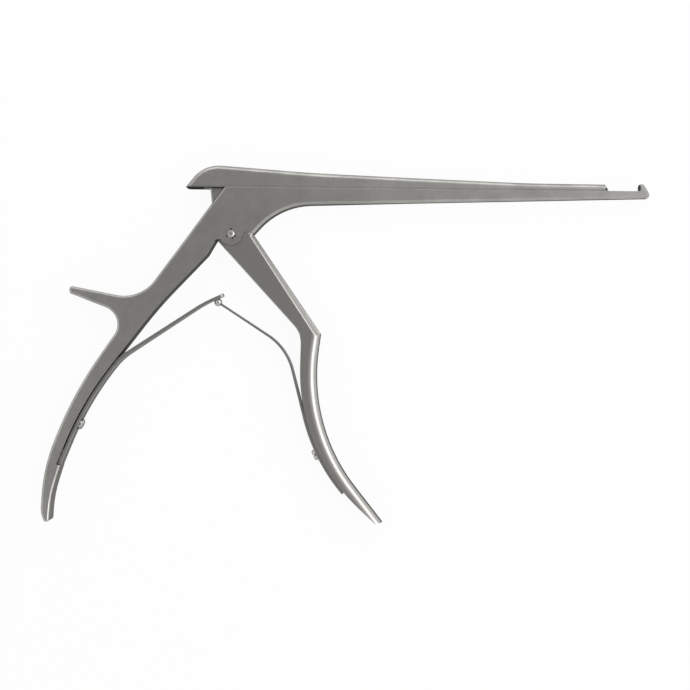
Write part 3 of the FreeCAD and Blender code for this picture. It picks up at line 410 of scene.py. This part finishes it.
def steel_material(name, tone, roughness, groups, angle=0.0, second_angle=0.0,
                   change_height=-1.0, strength=1.0, bump=0.05, edge_tint=0.0,
                   edge_highlight_gain=0.2, edge_width=0.35 * MM, painted_side_shade=0.70, hammered=0.0,
                   edge_share=None, painted_shading=None):
    """Satin steel: grain and worn edges from the shared groups, gloss from the shader.
    The grain turns from angle to second_angle below change_height. edge_highlight_gain is how
    much paler the worn edges are painted, a painted highlight beside their real polish, and
    edge_tint the metal's colour where it is seen at a slant.
    painted_side_shade is painted shade: the tone of the steep sides, darker than the flats as
    if less light fell on them, set by how far their normal leans from upright.
    hammered is the depth of the dents of a riveted end. edge_share and dirt are functions
    of the wires, the place and, for dirt, the edge mask: the first gives the share of the
    edge width that a place has, the second how much of the tone a place keeps under painted
    shade and painted light.
    """
    material, wires = new_material(name)
    place = wires.add("ShaderNodeTexCoord").outputs["Object"]
    grain = wires.add("ShaderNodeGroup", {
        "Place": place, "Tone": (*tone, 1.0), "Roughness": roughness, "Angle": angle,
        "Second Angle": second_angle, "Change Height": change_height,
        "Strength": strength}, node_tree=groups["grain"])
    edge = wires.add("ShaderNodeGroup", {"Width": edge_width}, node_tree=groups["edge"])
    if edge_share:
        wires.set(edge, "Width", wires.math(
            "MULTIPLY", edge_share(wires, place), edge_width))
    mask = edge.outputs["Mask"]
    # Painted highlight: the worn edges' colour is made paler under the edge mask.
    painted_edge_highlight = wires.add("ShaderNodeMix", {
        "Factor": wires.math("MULTIPLY", mask, edge_highlight_gain)}, data_type="RGBA")
    wires.set(painted_edge_highlight, COLOUR_A, grain.outputs["Color"])
    wires.set(painted_edge_highlight, COLOUR_B, (*toned(tone, EDGE_HIGHLIGHT_PALER), 1.0))
    # Painted shade: steep sides take a darker tone than the flats.
    lean = wires.part(wires.add("ShaderNodeNewGeometry").outputs["Normal"], "Z")
    side = wires.ramp(wires.math("ABSOLUTE", lean), *PAINTED_SHADE_LEAN, painted_side_shade, 1.0)
    colour = wires.scaled(painted_edge_highlight.outputs[2], side)
    # Painted shade and painted light from the piece's own function.
    if painted_shading:
        colour = wires.scaled(colour, painted_shading(wires, place, mask))
    rough = wires.math("SUBTRACT", grain.outputs["Roughness"],
                       wires.math("MULTIPLY", mask, EDGE_POLISH), clamp=True)
    relief = wires.add("ShaderNodeBump", {
        "Strength": bump, "Distance": GRAIN_DEPTH, "Height": grain.outputs["Height"],
        "Normal": edge.outputs["Normal"]})
    if hammered:
        dents = wires.add("ShaderNodeTexNoise", {
            "Vector": place, "Scale": DENT_SCALE, "Detail": 1.0}).outputs["Fac"]
        relief = wires.add("ShaderNodeBump", {
            "Strength": 1.0, "Distance": hammered, "Height": dents,
            "Normal": relief.outputs[0]})
    shader = wires.add("ShaderNodeBsdfPrincipled", {
        "Base Color": colour, "Metallic": 1.0, "Roughness": rough,
        "Specular Tint": (edge_tint, edge_tint, edge_tint, 1.0),
        "Normal": relief.outputs[0]})
    wires.add("ShaderNodeOutputMaterial", {"Surface": shader.outputs[0]})
    return material


def slide_edges(pin):
    """The slide's crown is worn round and its split line is crisp. No edge shows round the
    drive pin, which is ground flush with the slide's sides."""
    def share(wires, place):
        outside = wires.math("GREATER_THAN", wires.distance_from(place, pin), PIN_REACH)
        crown = wires.ramp(wires.part(place, "Y"), *CROWN_STARTS, SPLIT_WORN, 1.0)
        return wires.math("MULTIPLY", outside, crown)
    return share


def slide_painted_shade(front):
    """Painted shade: the dark line where the slide meets the lower shaft, and the dark bite at
    its cutting edge."""
    def kept(wires, place, mask):
        line = wires.ramp(wires.part(place, "Y"), *SPLIT_LINE, SPLIT_SHADE_KEPT, 1.0)
        bite = wires.distance_from(place, (front - BITE_BACK, SPLIT + BITE_RISE))
        return wires.math("MULTIPLY", line, wires.ramp(bite, *BITE_RIM, BITE_SHADE_KEPT, 1.0))
    return kept


def above_knee(wires, place):
    """The lever's edges are worn down to its knee, and less in the seam round the pivot.
    The grip below the knee is round."""
    clear = wires.math("GREATER_THAN", wires.distance_from(place, PIVOT), SEAM_REACH)
    return wires.math("MULTIPLY", wires.math("GREATER_THAN", wires.part(place, "Y"), KNEE),
                      wires.math("MAXIMUM", clear, SEAM_WORN))


def above_toe(wires, place):
    """The frame's edges are worn down to the rear leaf's root. The toe below is round."""
    return wires.math("GREATER_THAN", wires.part(place, "Y"), TOE)


def seam_painted_shade(wires, place, mask):
    """Painted shade in the seam round the pivot, and in the pits that stake its end."""
    near = wires.math("LESS_THAN", wires.distance_from(place, PIVOT), SEAM_REACH)
    kept = wires.kept(wires.math("MULTIPLY", near, mask), SEAM_PAINTED_SHADE)
    upper = wires.math("GREATER_THAN", wires.part(place, "Z"), MIDDLE)
    for turn in STAKES:
        spot = (STAKE_DISTANCE * math.cos(math.radians(turn)),
                STAKE_DISTANCE * math.sin(math.radians(turn)))
        pit_shade = wires.ramp(wires.distance_from(place, spot), *STAKE_PIT, STAKE_PIT_SHADE, 0.0)
        kept = wires.math("MULTIPLY", kept, wires.kept(pit_shade, upper))
    return kept


def frame_painted_shading(wires, place, mask):
    """The seam's painted shade, painted shade in the dark slit between the handle and the rear
    leaf's root, and painted light on the toe below it, which makes its inner side as bright
    as its flats."""
    north = wires.part(place, "Y")
    facing = wires.part(wires.add("ShaderNodeNewGeometry").outputs["Normal"], "X")
    behind = wires.math("MULTIPLY", wires.math("GREATER_THAN", north, TOE),
                        wires.math("LESS_THAN", north, LEAF_LEAVES))
    wall = wires.math("GREATER_THAN", facing, SLIT_FACING)
    slit = wires.kept(wires.math("MULTIPLY", behind, wall), SLIT_PAINTED_SHADE)
    kept = wires.math("MULTIPLY", seam_painted_shade(wires, place, mask), slit)
    toe = wires.math("MULTIPLY", wires.math("LESS_THAN", north, TOE),
                     wires.ramp(facing, *TOE_FACING, 0.0, 1.0))
    paler = wires.math("ADD", wires.math("MULTIPLY", toe, TOE_PAINTED_LIGHT), 1.0)
    return wires.math("MULTIPLY", kept, paler)


def wear(node, material):
    """Give a CAD node its finish."""
    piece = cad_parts[node]
    for slot in piece.material_slots:
        slot.material = material


# Corners of the leaves' middle lines, in millimetres, each with its rounding

REAR_PATH = ((-78.647, -107.057, 0.0), (-67.252, -78.855, 149.09), (-51.079, -57.689, 30.0),
             (-12.531, -32.175, 60.0), (-3.455, -27.943, 0.0))
FRONT_PATH = ((52.518, -119.434, 0.0), (39.442, -104.123, 87.2), (34.401, -84.631, 0.0),
              (26.062, -52.388, 27.0), (-4.507, -32.535, 0.0))


def path_curve(name, corners):
    """A poly curve through corners, each with its rounding kept as the point's radius."""
    curve = bpy.data.curves.new(name, "CURVE")
    curve.dimensions = "3D"
    line = curve.splines.new("POLY")
    line.points.add(len(corners) - 1)
    for spot, (x, y, radius) in zip(line.points, corners):
        spot.co = (x * MM, y * MM, MIDDLE, 1.0)
        spot.radius = radius * MM
    return new_object(name, curve)


def leaf_tree():
    """Geometry Nodes that turn a cornered path into a tapered leaf with rounded edges."""
    tree = bpy.data.node_groups.new("leaf_spring", "GeometryNodeTree")
    tree.interface.new_socket(name="Path", in_out="INPUT", socket_type="NodeSocketGeometry")
    for label in ("Root Thickness", "Tip Thickness", "Root Width", "Tip Width",
                  "Taper Start", "Taper End", "Tip Round", "Edge Round", "Step"):
        tree.interface.new_socket(name=label, in_out="INPUT", socket_type="NodeSocketFloat")
    tree.interface.new_socket(name="Finish", in_out="INPUT", socket_type="NodeSocketMaterial")
    tree.interface.new_socket(name="Leaf", in_out="OUTPUT", socket_type="NodeSocketGeometry")
    wires = Wires(tree)
    given = wires.add("NodeGroupInput").outputs
    fillet = wires.add("GeometryNodeFilletCurve", {
        "Curve": given["Path"], "Radius": wires.add("GeometryNodeInputRadius").outputs[0],
        "Count": 48}, mode="POLY")
    even = wires.add("GeometryNodeResampleCurve", {
        "Curve": fillet.outputs[0], "Length": given["Step"]}, mode="LENGTH")
    plain = wires.add("GeometryNodeSetCurveRadius", {"Curve": even.outputs[0], "Radius": 1.0})
    upright = wires.add("GeometryNodeSetCurveNormal", {"Curve": plain.outputs[0]},
                        mode="Z_UP")
    along = wires.add("GeometryNodeSplineParameter").outputs["Length"]
    full = wires.add("GeometryNodeCurveLength", {"Curve": even.outputs[0]}).outputs[0]
    keep_place = wires.add("GeometryNodeCaptureAttribute")
    keep_place.capture_items.new("VECTOR", "place")
    keep_place.capture_items.new("FLOAT", "along")
    wires.set(keep_place, "Geometry", upright.outputs[0])
    wires.set(keep_place, "place", wires.add("GeometryNodeInputPosition").outputs[0])
    wires.set(keep_place, "along", along)
    section = wires.add("GeometryNodeCurvePrimitiveQuadrilateral", {
        "Width": given["Root Thickness"], "Height": given["Root Width"]}, mode="RECTANGLE")
    soft = wires.add("GeometryNodeFilletCurve", {
        "Curve": section.outputs[0], "Radius": given["Edge Round"], "Count": 5}, mode="POLY")
    swept = wires.add("GeometryNodeCurveToMesh", {
        "Curve": keep_place.outputs["Geometry"], "Profile Curve": soft.outputs[0],
        "Fill Caps": True})
    centre = keep_place.outputs["place"]
    run = keep_place.outputs["along"]
    offset = wires.add("ShaderNodeVectorMath", {
        0: wires.add("GeometryNodeInputPosition").outputs[0], 1: centre},
        operation="SUBTRACT")
    parts = wires.add("ShaderNodeSeparateXYZ", {"Vector": offset.outputs[0]}).outputs
    thin = wires.ramp(run, given["Taper Start"], given["Taper End"], 1.0,
                      wires.math("DIVIDE", given["Tip Thickness"], given["Root Thickness"]))
    slim = wires.ramp(run, given["Taper Start"], full, 1.0,
                      wires.math("DIVIDE", given["Tip Width"], given["Root Width"]))
    into_tip = wires.math("SUBTRACT", run,
                          wires.math("SUBTRACT", full, given["Tip Round"]))
    past = wires.math("MAXIMUM", into_tip, 0.0)
    square = wires.math("MULTIPLY", given["Tip Round"], given["Tip Round"])
    rise = wires.math("SQRT", wires.math("MAXIMUM", wires.math(
        "SUBTRACT", square, wires.math("MULTIPLY", past, past)), 0.0))
    lost = wires.math("SUBTRACT", given["Tip Round"], rise)
    half = wires.math("MULTIPLY", given["Root Width"], 0.5)
    tip_cut = wires.math("DIVIDE", lost, half)
    width_share = wires.math("SUBTRACT", slim, tip_cut)
    new_z = wires.math("MULTIPLY", parts["Z"], width_share)
    new_x = wires.math("MULTIPLY", parts["X"], thin)
    new_y = wires.math("MULTIPLY", parts["Y"], thin)
    shaped = wires.add("ShaderNodeCombineXYZ", {"X": new_x, "Y": new_y, "Z": new_z})
    placed = wires.add("ShaderNodeVectorMath", {0: shaped.outputs[0], 1: centre},
                       operation="ADD")
    moved = wires.add("GeometryNodeSetPosition", {
        "Geometry": swept.outputs[0], "Position": placed.outputs[0]})
    real = wires.add("GeometryNodeRealizeInstances", {"Geometry": moved.outputs[0]})
    finished = wires.add("GeometryNodeSetMaterial", {
        "Geometry": real.outputs[0], "Material": given["Finish"]})
    wires.add("NodeGroupOutput", {"Leaf": finished.outputs[0]})
    return tree


def path_length(corners, stop=None):
    """Length of a cornered path up to a corner, with its corners rounded."""
    total = 0.0
    places = [Vector(corner[:2]) for corner in corners]
    for number in range(1, len(places) if stop is None else stop + 1):
        total += (places[number] - places[number - 1]).length
        if number < len(places) - 1 and corners[number][2] > 0:
            back = (places[number - 1] - places[number]).normalized()
            ahead = (places[number + 1] - places[number]).normalized()
            half = math.acos(max(-1.0, min(1.0, back.dot(ahead)))) / 2
            reach = corners[number][2] / math.tan(half)
            arc = corners[number][2] * (math.pi - 2 * half)
            total -= (2 * reach - arc) / (2 if number == stop else 1)
    return total * MM


def make_leaf(name, tree, corners, sizes, finish):
    """Run the leaf tree along a path and keep the result as a plain mesh."""
    path = path_curve(name + "_path", corners)
    live = path.modifiers.new("leaf", "NODES")
    live.node_group = tree
    for item in tree.interface.items_tree:
        if item.in_out == "INPUT" and item.name in sizes:
            live[item.identifier] = sizes[item.name]
        elif item.in_out == "INPUT" and item.name == "Finish":
            live[item.identifier] = finish
    seen = path.evaluated_get(bpy.context.evaluated_depsgraph_get())
    mesh = bpy.data.meshes.new_from_object(seen)
    path.modifiers.clear()
    curve = path.data
    bpy.data.objects.remove(path)
    bpy.data.curves.remove(curve)
    mesh.name = name
    mesh.shade_smooth()
    mesh.set_sharp_from_angle(angle=LEAF_CREASE)
    return new_object(name, mesh)


def cut_hole(piece, place, along, radius, length):
    """Drill a round hole through a piece."""
    turn = Vector((0.0, 0.0, 1.0)).rotation_difference(along)
    bpy.ops.mesh.primitive_cylinder_add(vertices=64, radius=radius, depth=length)
    drill = bpy.context.active_object
    drill.rotation_mode = "QUATERNION"
    drill.rotation_quaternion = turn
    drill.location = place
    bpy.context.view_layer.update()
    bore = piece.modifiers.new("bore", "BOOLEAN")
    bore.object = drill
    bore.solver = "EXACT"
    seen = piece.evaluated_get(bpy.context.evaluated_depsgraph_get())
    mesh = bpy.data.meshes.new_from_object(seen)
    piece.modifiers.clear()
    piece.data = mesh
    bpy.data.objects.remove(drill)
    mesh.shade_smooth()
    mesh.set_sharp_from_angle(angle=HOLE_CREASE)


# Operators

class RONGEUR_OT_finishes(bpy.types.Operator):
    """Builds the steel finishes and gives each CAD piece its own"""

    bl_idname = "rongeur.finishes"
    bl_label = "Steel Finishes"

    def execute(self, context):
        steel = context.scene.rongeur_steel
        groups = {"grain": satin_grain_group(steel), "edge": worn_edge_group(steel)}
        forging = tuple(steel.forging)
        screw = tuple(steel.screw)
        along_handle = math.radians(53.8)
        along_lever = math.radians(-62.0)
        along_leaf = math.radians(35.0)
        pin = (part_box("drive_pin")[0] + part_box("drive_pin")[1]) / 2
        wear("frame", steel_material(
            "frame_satin_steel", forging, steel.satin, groups, second_angle=along_handle,
            change_height=GRAIN_TURNS, edge_width=steel.edge_width * 0.6, painted_side_shade=0.62,
            edge_tint=0.14, edge_share=above_toe, painted_shading=frame_painted_shading))
        slide = steel_material(
            "slide_satin_steel", toned(forging, 1.03), steel.satin, groups,
            edge_width=steel.edge_width * 3.8, edge_share=slide_edges(pin),
            painted_shading=slide_painted_shade(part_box("slide")[1].x))
        wear("slide", slide)
        wear("drive_pin", slide)
        wear("front_handle", steel_material(
            "lever_satin_steel", toned(forging, 1.06), steel.satin - 0.05, groups,
            angle=along_lever, second_angle=along_lever, strength=0.25, bump=0.01,
            edge_width=steel.edge_width * 3.0, painted_side_shade=0.6, edge_share=above_knee,
            painted_shading=seam_painted_shade))
        wear("pivot_screw", steel_material(
            "pivot_riveted_steel", toned(screw, 1.45), steel.turned, groups,
            edge_width=steel.edge_width * 0.3, painted_side_shade=1.0, hammered=0.12 * MM,
            painted_shading=seam_painted_shade))
        for node in ("rear_leaf_screw", "front_leaf_screw", "spring_ball"):
            wear(node, steel_material(
                node + "_turned_steel", screw, steel.turned, groups, strength=0.6,
                edge_tint=0.3, edge_width=steel.edge_width * 0.5))
        steel_material(
            "leaf_spring_steel", tuple(steel.spring), steel.satin * 0.9, groups,
            angle=along_leaf, second_angle=along_leaf, strength=0.35,
            edge_width=steel.edge_width * 0.4, painted_side_shade=0.9, edge_tint=0.25)
        return {"FINISHED"}


class RONGEUR_OT_rear_leaf(bpy.types.Operator):
    """Makes the rear leaf spring, which bends where it leaves the frame's handle"""

    bl_idname = "rongeur.rear_leaf"
    bl_label = "Rear Leaf Spring"

    def execute(self, context):
        leaves = context.scene.rongeur_leaves
        tree = bpy.data.node_groups.get("leaf_spring") or leaf_tree()
        finish = bpy.data.materials["leaf_spring_steel"]
        piece = make_leaf("rear_leaf", tree, REAR_PATH, {
            "Root Thickness": leaves.rear_thickness,
            "Tip Thickness": leaves.rear_tip_thickness,
            "Root Width": leaves.rear_width,
            "Tip Width": leaves.rear_tip_width,
            "Taper Start": path_length(REAR_PATH, 2),
            "Taper End": path_length(REAR_PATH, 3),
            "Tip Round": TIP_ROUND,
            "Edge Round": leaves.edge,
            "Step": leaves.step,
        }, finish)
        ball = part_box("spring_ball")
        middle = (ball[0] + ball[1]) / 2
        outward = Vector((math.cos(HOLE_FACING), math.sin(HOLE_FACING), 0.0))
        cut_hole(piece, middle + outward * BALL_RADIUS, outward, leaves.socket,
                 2 * BALL_RADIUS)
        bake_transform(piece)
        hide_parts("rear_leaf_spring")
        return {"FINISHED"}


class RONGEUR_OT_front_leaf(bpy.types.Operator):
    """Makes the front leaf spring, which bends where it leaves the lever"""

    bl_idname = "rongeur.front_leaf"
    bl_label = "Front Leaf Spring"

    def execute(self, context):
        leaves = context.scene.rongeur_leaves
        tree = bpy.data.node_groups.get("leaf_spring") or leaf_tree()
        finish = bpy.data.materials["leaf_spring_steel"]
        piece = make_leaf("front_leaf", tree, FRONT_PATH, {
            "Root Thickness": leaves.front_thickness,
            "Tip Thickness": leaves.front_tip_thickness,
            "Root Width": leaves.front_width,
            "Tip Width": leaves.front_tip_width,
            "Taper Start": path_length(FRONT_PATH, 2),
            "Taper End": path_length(FRONT_PATH),
            "Tip Round": 0.0,
            "Edge Round": leaves.edge,
            "Step": leaves.step,
        }, finish)
        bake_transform(piece)
        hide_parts("front_leaf_spring")
        return {"FINISHED"}


class RONGEUR_OT_studio(bpy.types.Operator):
    """Builds the pale floor, the soft lamps, the grey cards, the world and the camera"""

    bl_idname = "rongeur.studio"
    bl_label = "Studio"

    def execute(self, context):
        studio = context.scene.rongeur_studio
        add_floor(studio)
        add_world()
        aim = Vector((studio.centre[0], studio.centre[1], 0.0))
        for name, (power, size, place, target) in LAMPS.items():
            add_lamp(name, getattr(studio, power), size, aim + Vector(place),
                     aim + Vector(target))
        add_flag(studio, aim)
        add_walls(studio, aim)
        add_camera(studio)
        context.scene.view_settings.view_transform = "Standard"
        return {"FINISHED"}


def seen_directly(wires):
    """One for camera, glossy and transmission rays, zero for the light on the object."""
    path = wires.add("ShaderNodeLightPath").outputs
    glossy = wires.math("MAXIMUM", path["Is Camera Ray"], path["Is Glossy Ray"])
    return wires.math("MAXIMUM", glossy, path["Is Transmission Ray"])


def square(name, side, place, face):
    """A level square mesh round a place."""
    half = side / 2
    mesh = bpy.data.meshes.new(name)
    mesh.from_pydata([(-half, -half, 0.0), (half, -half, 0.0), (half, half, 0.0),
                      (-half, half, 0.0)], [], [face])
    mesh.transform(Matrix.Translation(place))
    return mesh


def add_floor(studio):
    """A wide pale floor that looks white and keeps a soft shadow."""
    low = min(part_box(node)[0].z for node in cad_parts)
    mesh = square("floor", studio.floor_size, (0.0, 0.0, low - FLOOR_GAP), FACING_UP)
    floor = new_object("floor", mesh)
    material, wires = new_material("floor_white")
    paper = wires.add("ShaderNodeBsdfDiffuse", {"Color": (0.9, 0.9, 0.9, 1.0)})
    glow = wires.add("ShaderNodeEmission", {"Color": (1.0, 1.0, 1.0, 1.0), "Strength": 1.0})
    share = wires.math("MULTIPLY", seen_directly(wires), FLOOR_GLOW)
    both = wires.add("ShaderNodeMixShader", {0: share, 1: paper.outputs[0],
                                             2: glow.outputs[0]})
    wires.add("ShaderNodeOutputMaterial", {"Surface": both.outputs[0]})
    mesh.materials.append(material)


def add_world():
    """An even white surround, a little dimmer as light than as background."""
    world = bpy.data.worlds.new("studio_white")
    bpy.context.scene.world = world
    world.use_nodes = True
    world.node_tree.nodes.clear()
    wires = Wires(world.node_tree)
    room = wires.add("ShaderNodeBackground", {"Color": (1.0, 1.0, 1.0, 1.0),
                                              "Strength": ROOM_LIGHT})
    backdrop = wires.add("ShaderNodeBackground", {"Color": (1.0, 1.0, 1.0, 1.0),
                                                  "Strength": 1.0})
    both = wires.add("ShaderNodeMixShader", {0: seen_directly(wires), 1: room.outputs[0],
                                             2: backdrop.outputs[0]})
    wires.add("ShaderNodeOutputWorld", {"Surface": both.outputs[0]})


def add_lamp(name, power, size, place, target):
    """A soft rectangular lamp that points at a place."""
    light = bpy.data.lights.new(name, "AREA")
    light.shape = "RECTANGLE"
    light.size, light.size_y = size
    light.energy = power
    lamp = new_object(name, light)
    lamp.location = place
    lamp.rotation_euler = (target - place).to_track_quat("-Z", "Y").to_euler()


def glossy_card(name, mesh, brightness):
    """Make a mesh a glowing card that only reflections see. brightness(wires, parts) gives
    its strength from the coordinates of a place on it."""
    card = new_object(name, mesh)
    for ray in ("camera", "diffuse", "transmission", "volume_scatter", "shadow"):
        setattr(card, "visible_" + ray, False)
    material, wires = new_material(name + "_grey")
    place = wires.add("ShaderNodeTexCoord").outputs["Object"]
    parts = wires.add("ShaderNodeSeparateXYZ", {"Vector": place}).outputs
    glow = wires.add("ShaderNodeEmission", {"Strength": brightness(wires, parts)})
    wires.add("ShaderNodeOutputMaterial", {"Surface": glow.outputs[0]})
    mesh.materials.append(material)


def add_flag(studio, aim):
    """A grey card overhead. It grows paler towards the tip, and the flat sides of the steel
    take their tone from it."""
    start, end = FLAG_CHANGES
    mesh = square("flag", studio.flag_size, aim + Vector((0.0, 0.0, studio.flag_height)),
                  FACING_DOWN)
    glossy_card("flag", mesh, lambda wires, parts: wires.ramp(
        parts["X"], aim.x + start, aim.x + end, studio.flag_dark, studio.flag_pale))


def add_walls(studio, aim):
    """Low grey cards in a ring, palest behind the shaft and darkest at the spur's side. The
    rounded and bevelled edges of the steel take their tone from them."""
    corners = []
    for number in range(WALL_FACES):
        turn = 2 * math.pi * number / WALL_FACES
        east = aim.x + WALL_RADIUS * math.cos(turn)
        north = aim.y + WALL_RADIUS * math.sin(turn)
        corners += [(east, north, WALL_FOOT), (east, north, WALL_TOP)]
    count = len(corners)
    faces = [(low, low + 1, (low + 3) % count, (low + 2) % count)
             for low in range(0, count, 2)]
    mesh = bpy.data.meshes.new("walls")
    mesh.from_pydata(corners, [], faces)
    mesh.update()

    def brightness(wires, parts):
        north = wires.ramp(parts["Y"], aim.y - WALL_RADIUS, aim.y + WALL_RADIUS,
                           *SOUTH_TO_NORTH)
        east = wires.ramp(parts["X"], aim.x - WALL_RADIUS, aim.x + WALL_RADIUS,
                          *WEST_TO_EAST)
        up = wires.ramp(parts["Z"], 0.0, WALL_TOP, *LOW_TO_HIGH)
        return wires.math("ADD", wires.math("ADD", wires.math("ADD", north, east), up),
                          studio.wall_grey)

    glossy_card("walls", mesh, brightness)


def add_camera(studio):
    """The camera straight above the instrument, as in the photograph."""
    data = bpy.data.cameras.new("photo_camera")
    data.sensor_width = 36.0
    data.lens = studio.lens
    data.clip_start = 0.01
    camera = new_object("photo_camera", data)
    camera.location = (studio.centre[0], studio.centre[1], studio.height)
    camera.rotation_euler = (0.0, 0.0, studio.roll)
    bpy.context.scene.camera = camera


class RONGEUR_PT_panel(bpy.types.Panel):
    """Lists the steps that dress the rongeur"""

    bl_label = "Kerrison Rongeur"
    bl_idname = "RONGEUR_PT_panel"
    bl_space_type = "VIEW_3D"
    bl_region_type = "UI"
    bl_category = "Rongeur"

    def draw(self, context):
        scene = context.scene
        for settings in (scene.rongeur_steel, scene.rongeur_leaves, scene.rongeur_studio):
            box = self.layout.box()
            for name in settings.__annotations__:
                box.prop(settings, name)
        for step in STEPS:
            self.layout.operator(step.bl_idname)


STEPS = (RONGEUR_OT_finishes, RONGEUR_OT_rear_leaf, RONGEUR_OT_front_leaf,
         RONGEUR_OT_studio)
SETTINGS = {"rongeur_steel": RongeurSteel, "rongeur_leaves": RongeurLeaves,
            "rongeur_studio": RongeurStudio}


def register():
    for group in SETTINGS.values():
        bpy.utils.register_class(group)
    for name, group in SETTINGS.items():
        setattr(bpy.types.Scene, name, PointerProperty(type=group))
    for step in (*STEPS, RONGEUR_PT_panel):
        bpy.utils.register_class(step)


def unregister():
    for step in (RONGEUR_PT_panel, *reversed(STEPS)):
        bpy.utils.unregister_class(step)
    for name, group in SETTINGS.items():
        delattr(bpy.types.Scene, name)
        bpy.utils.unregister_class(group)


def main():
    register()
    bpy.ops.rongeur.finishes()
    bpy.ops.rongeur.rear_leaf()
    bpy.ops.rongeur.front_leaf()
    bpy.ops.rongeur.studio()


if __name__ == "__main__":
    main()
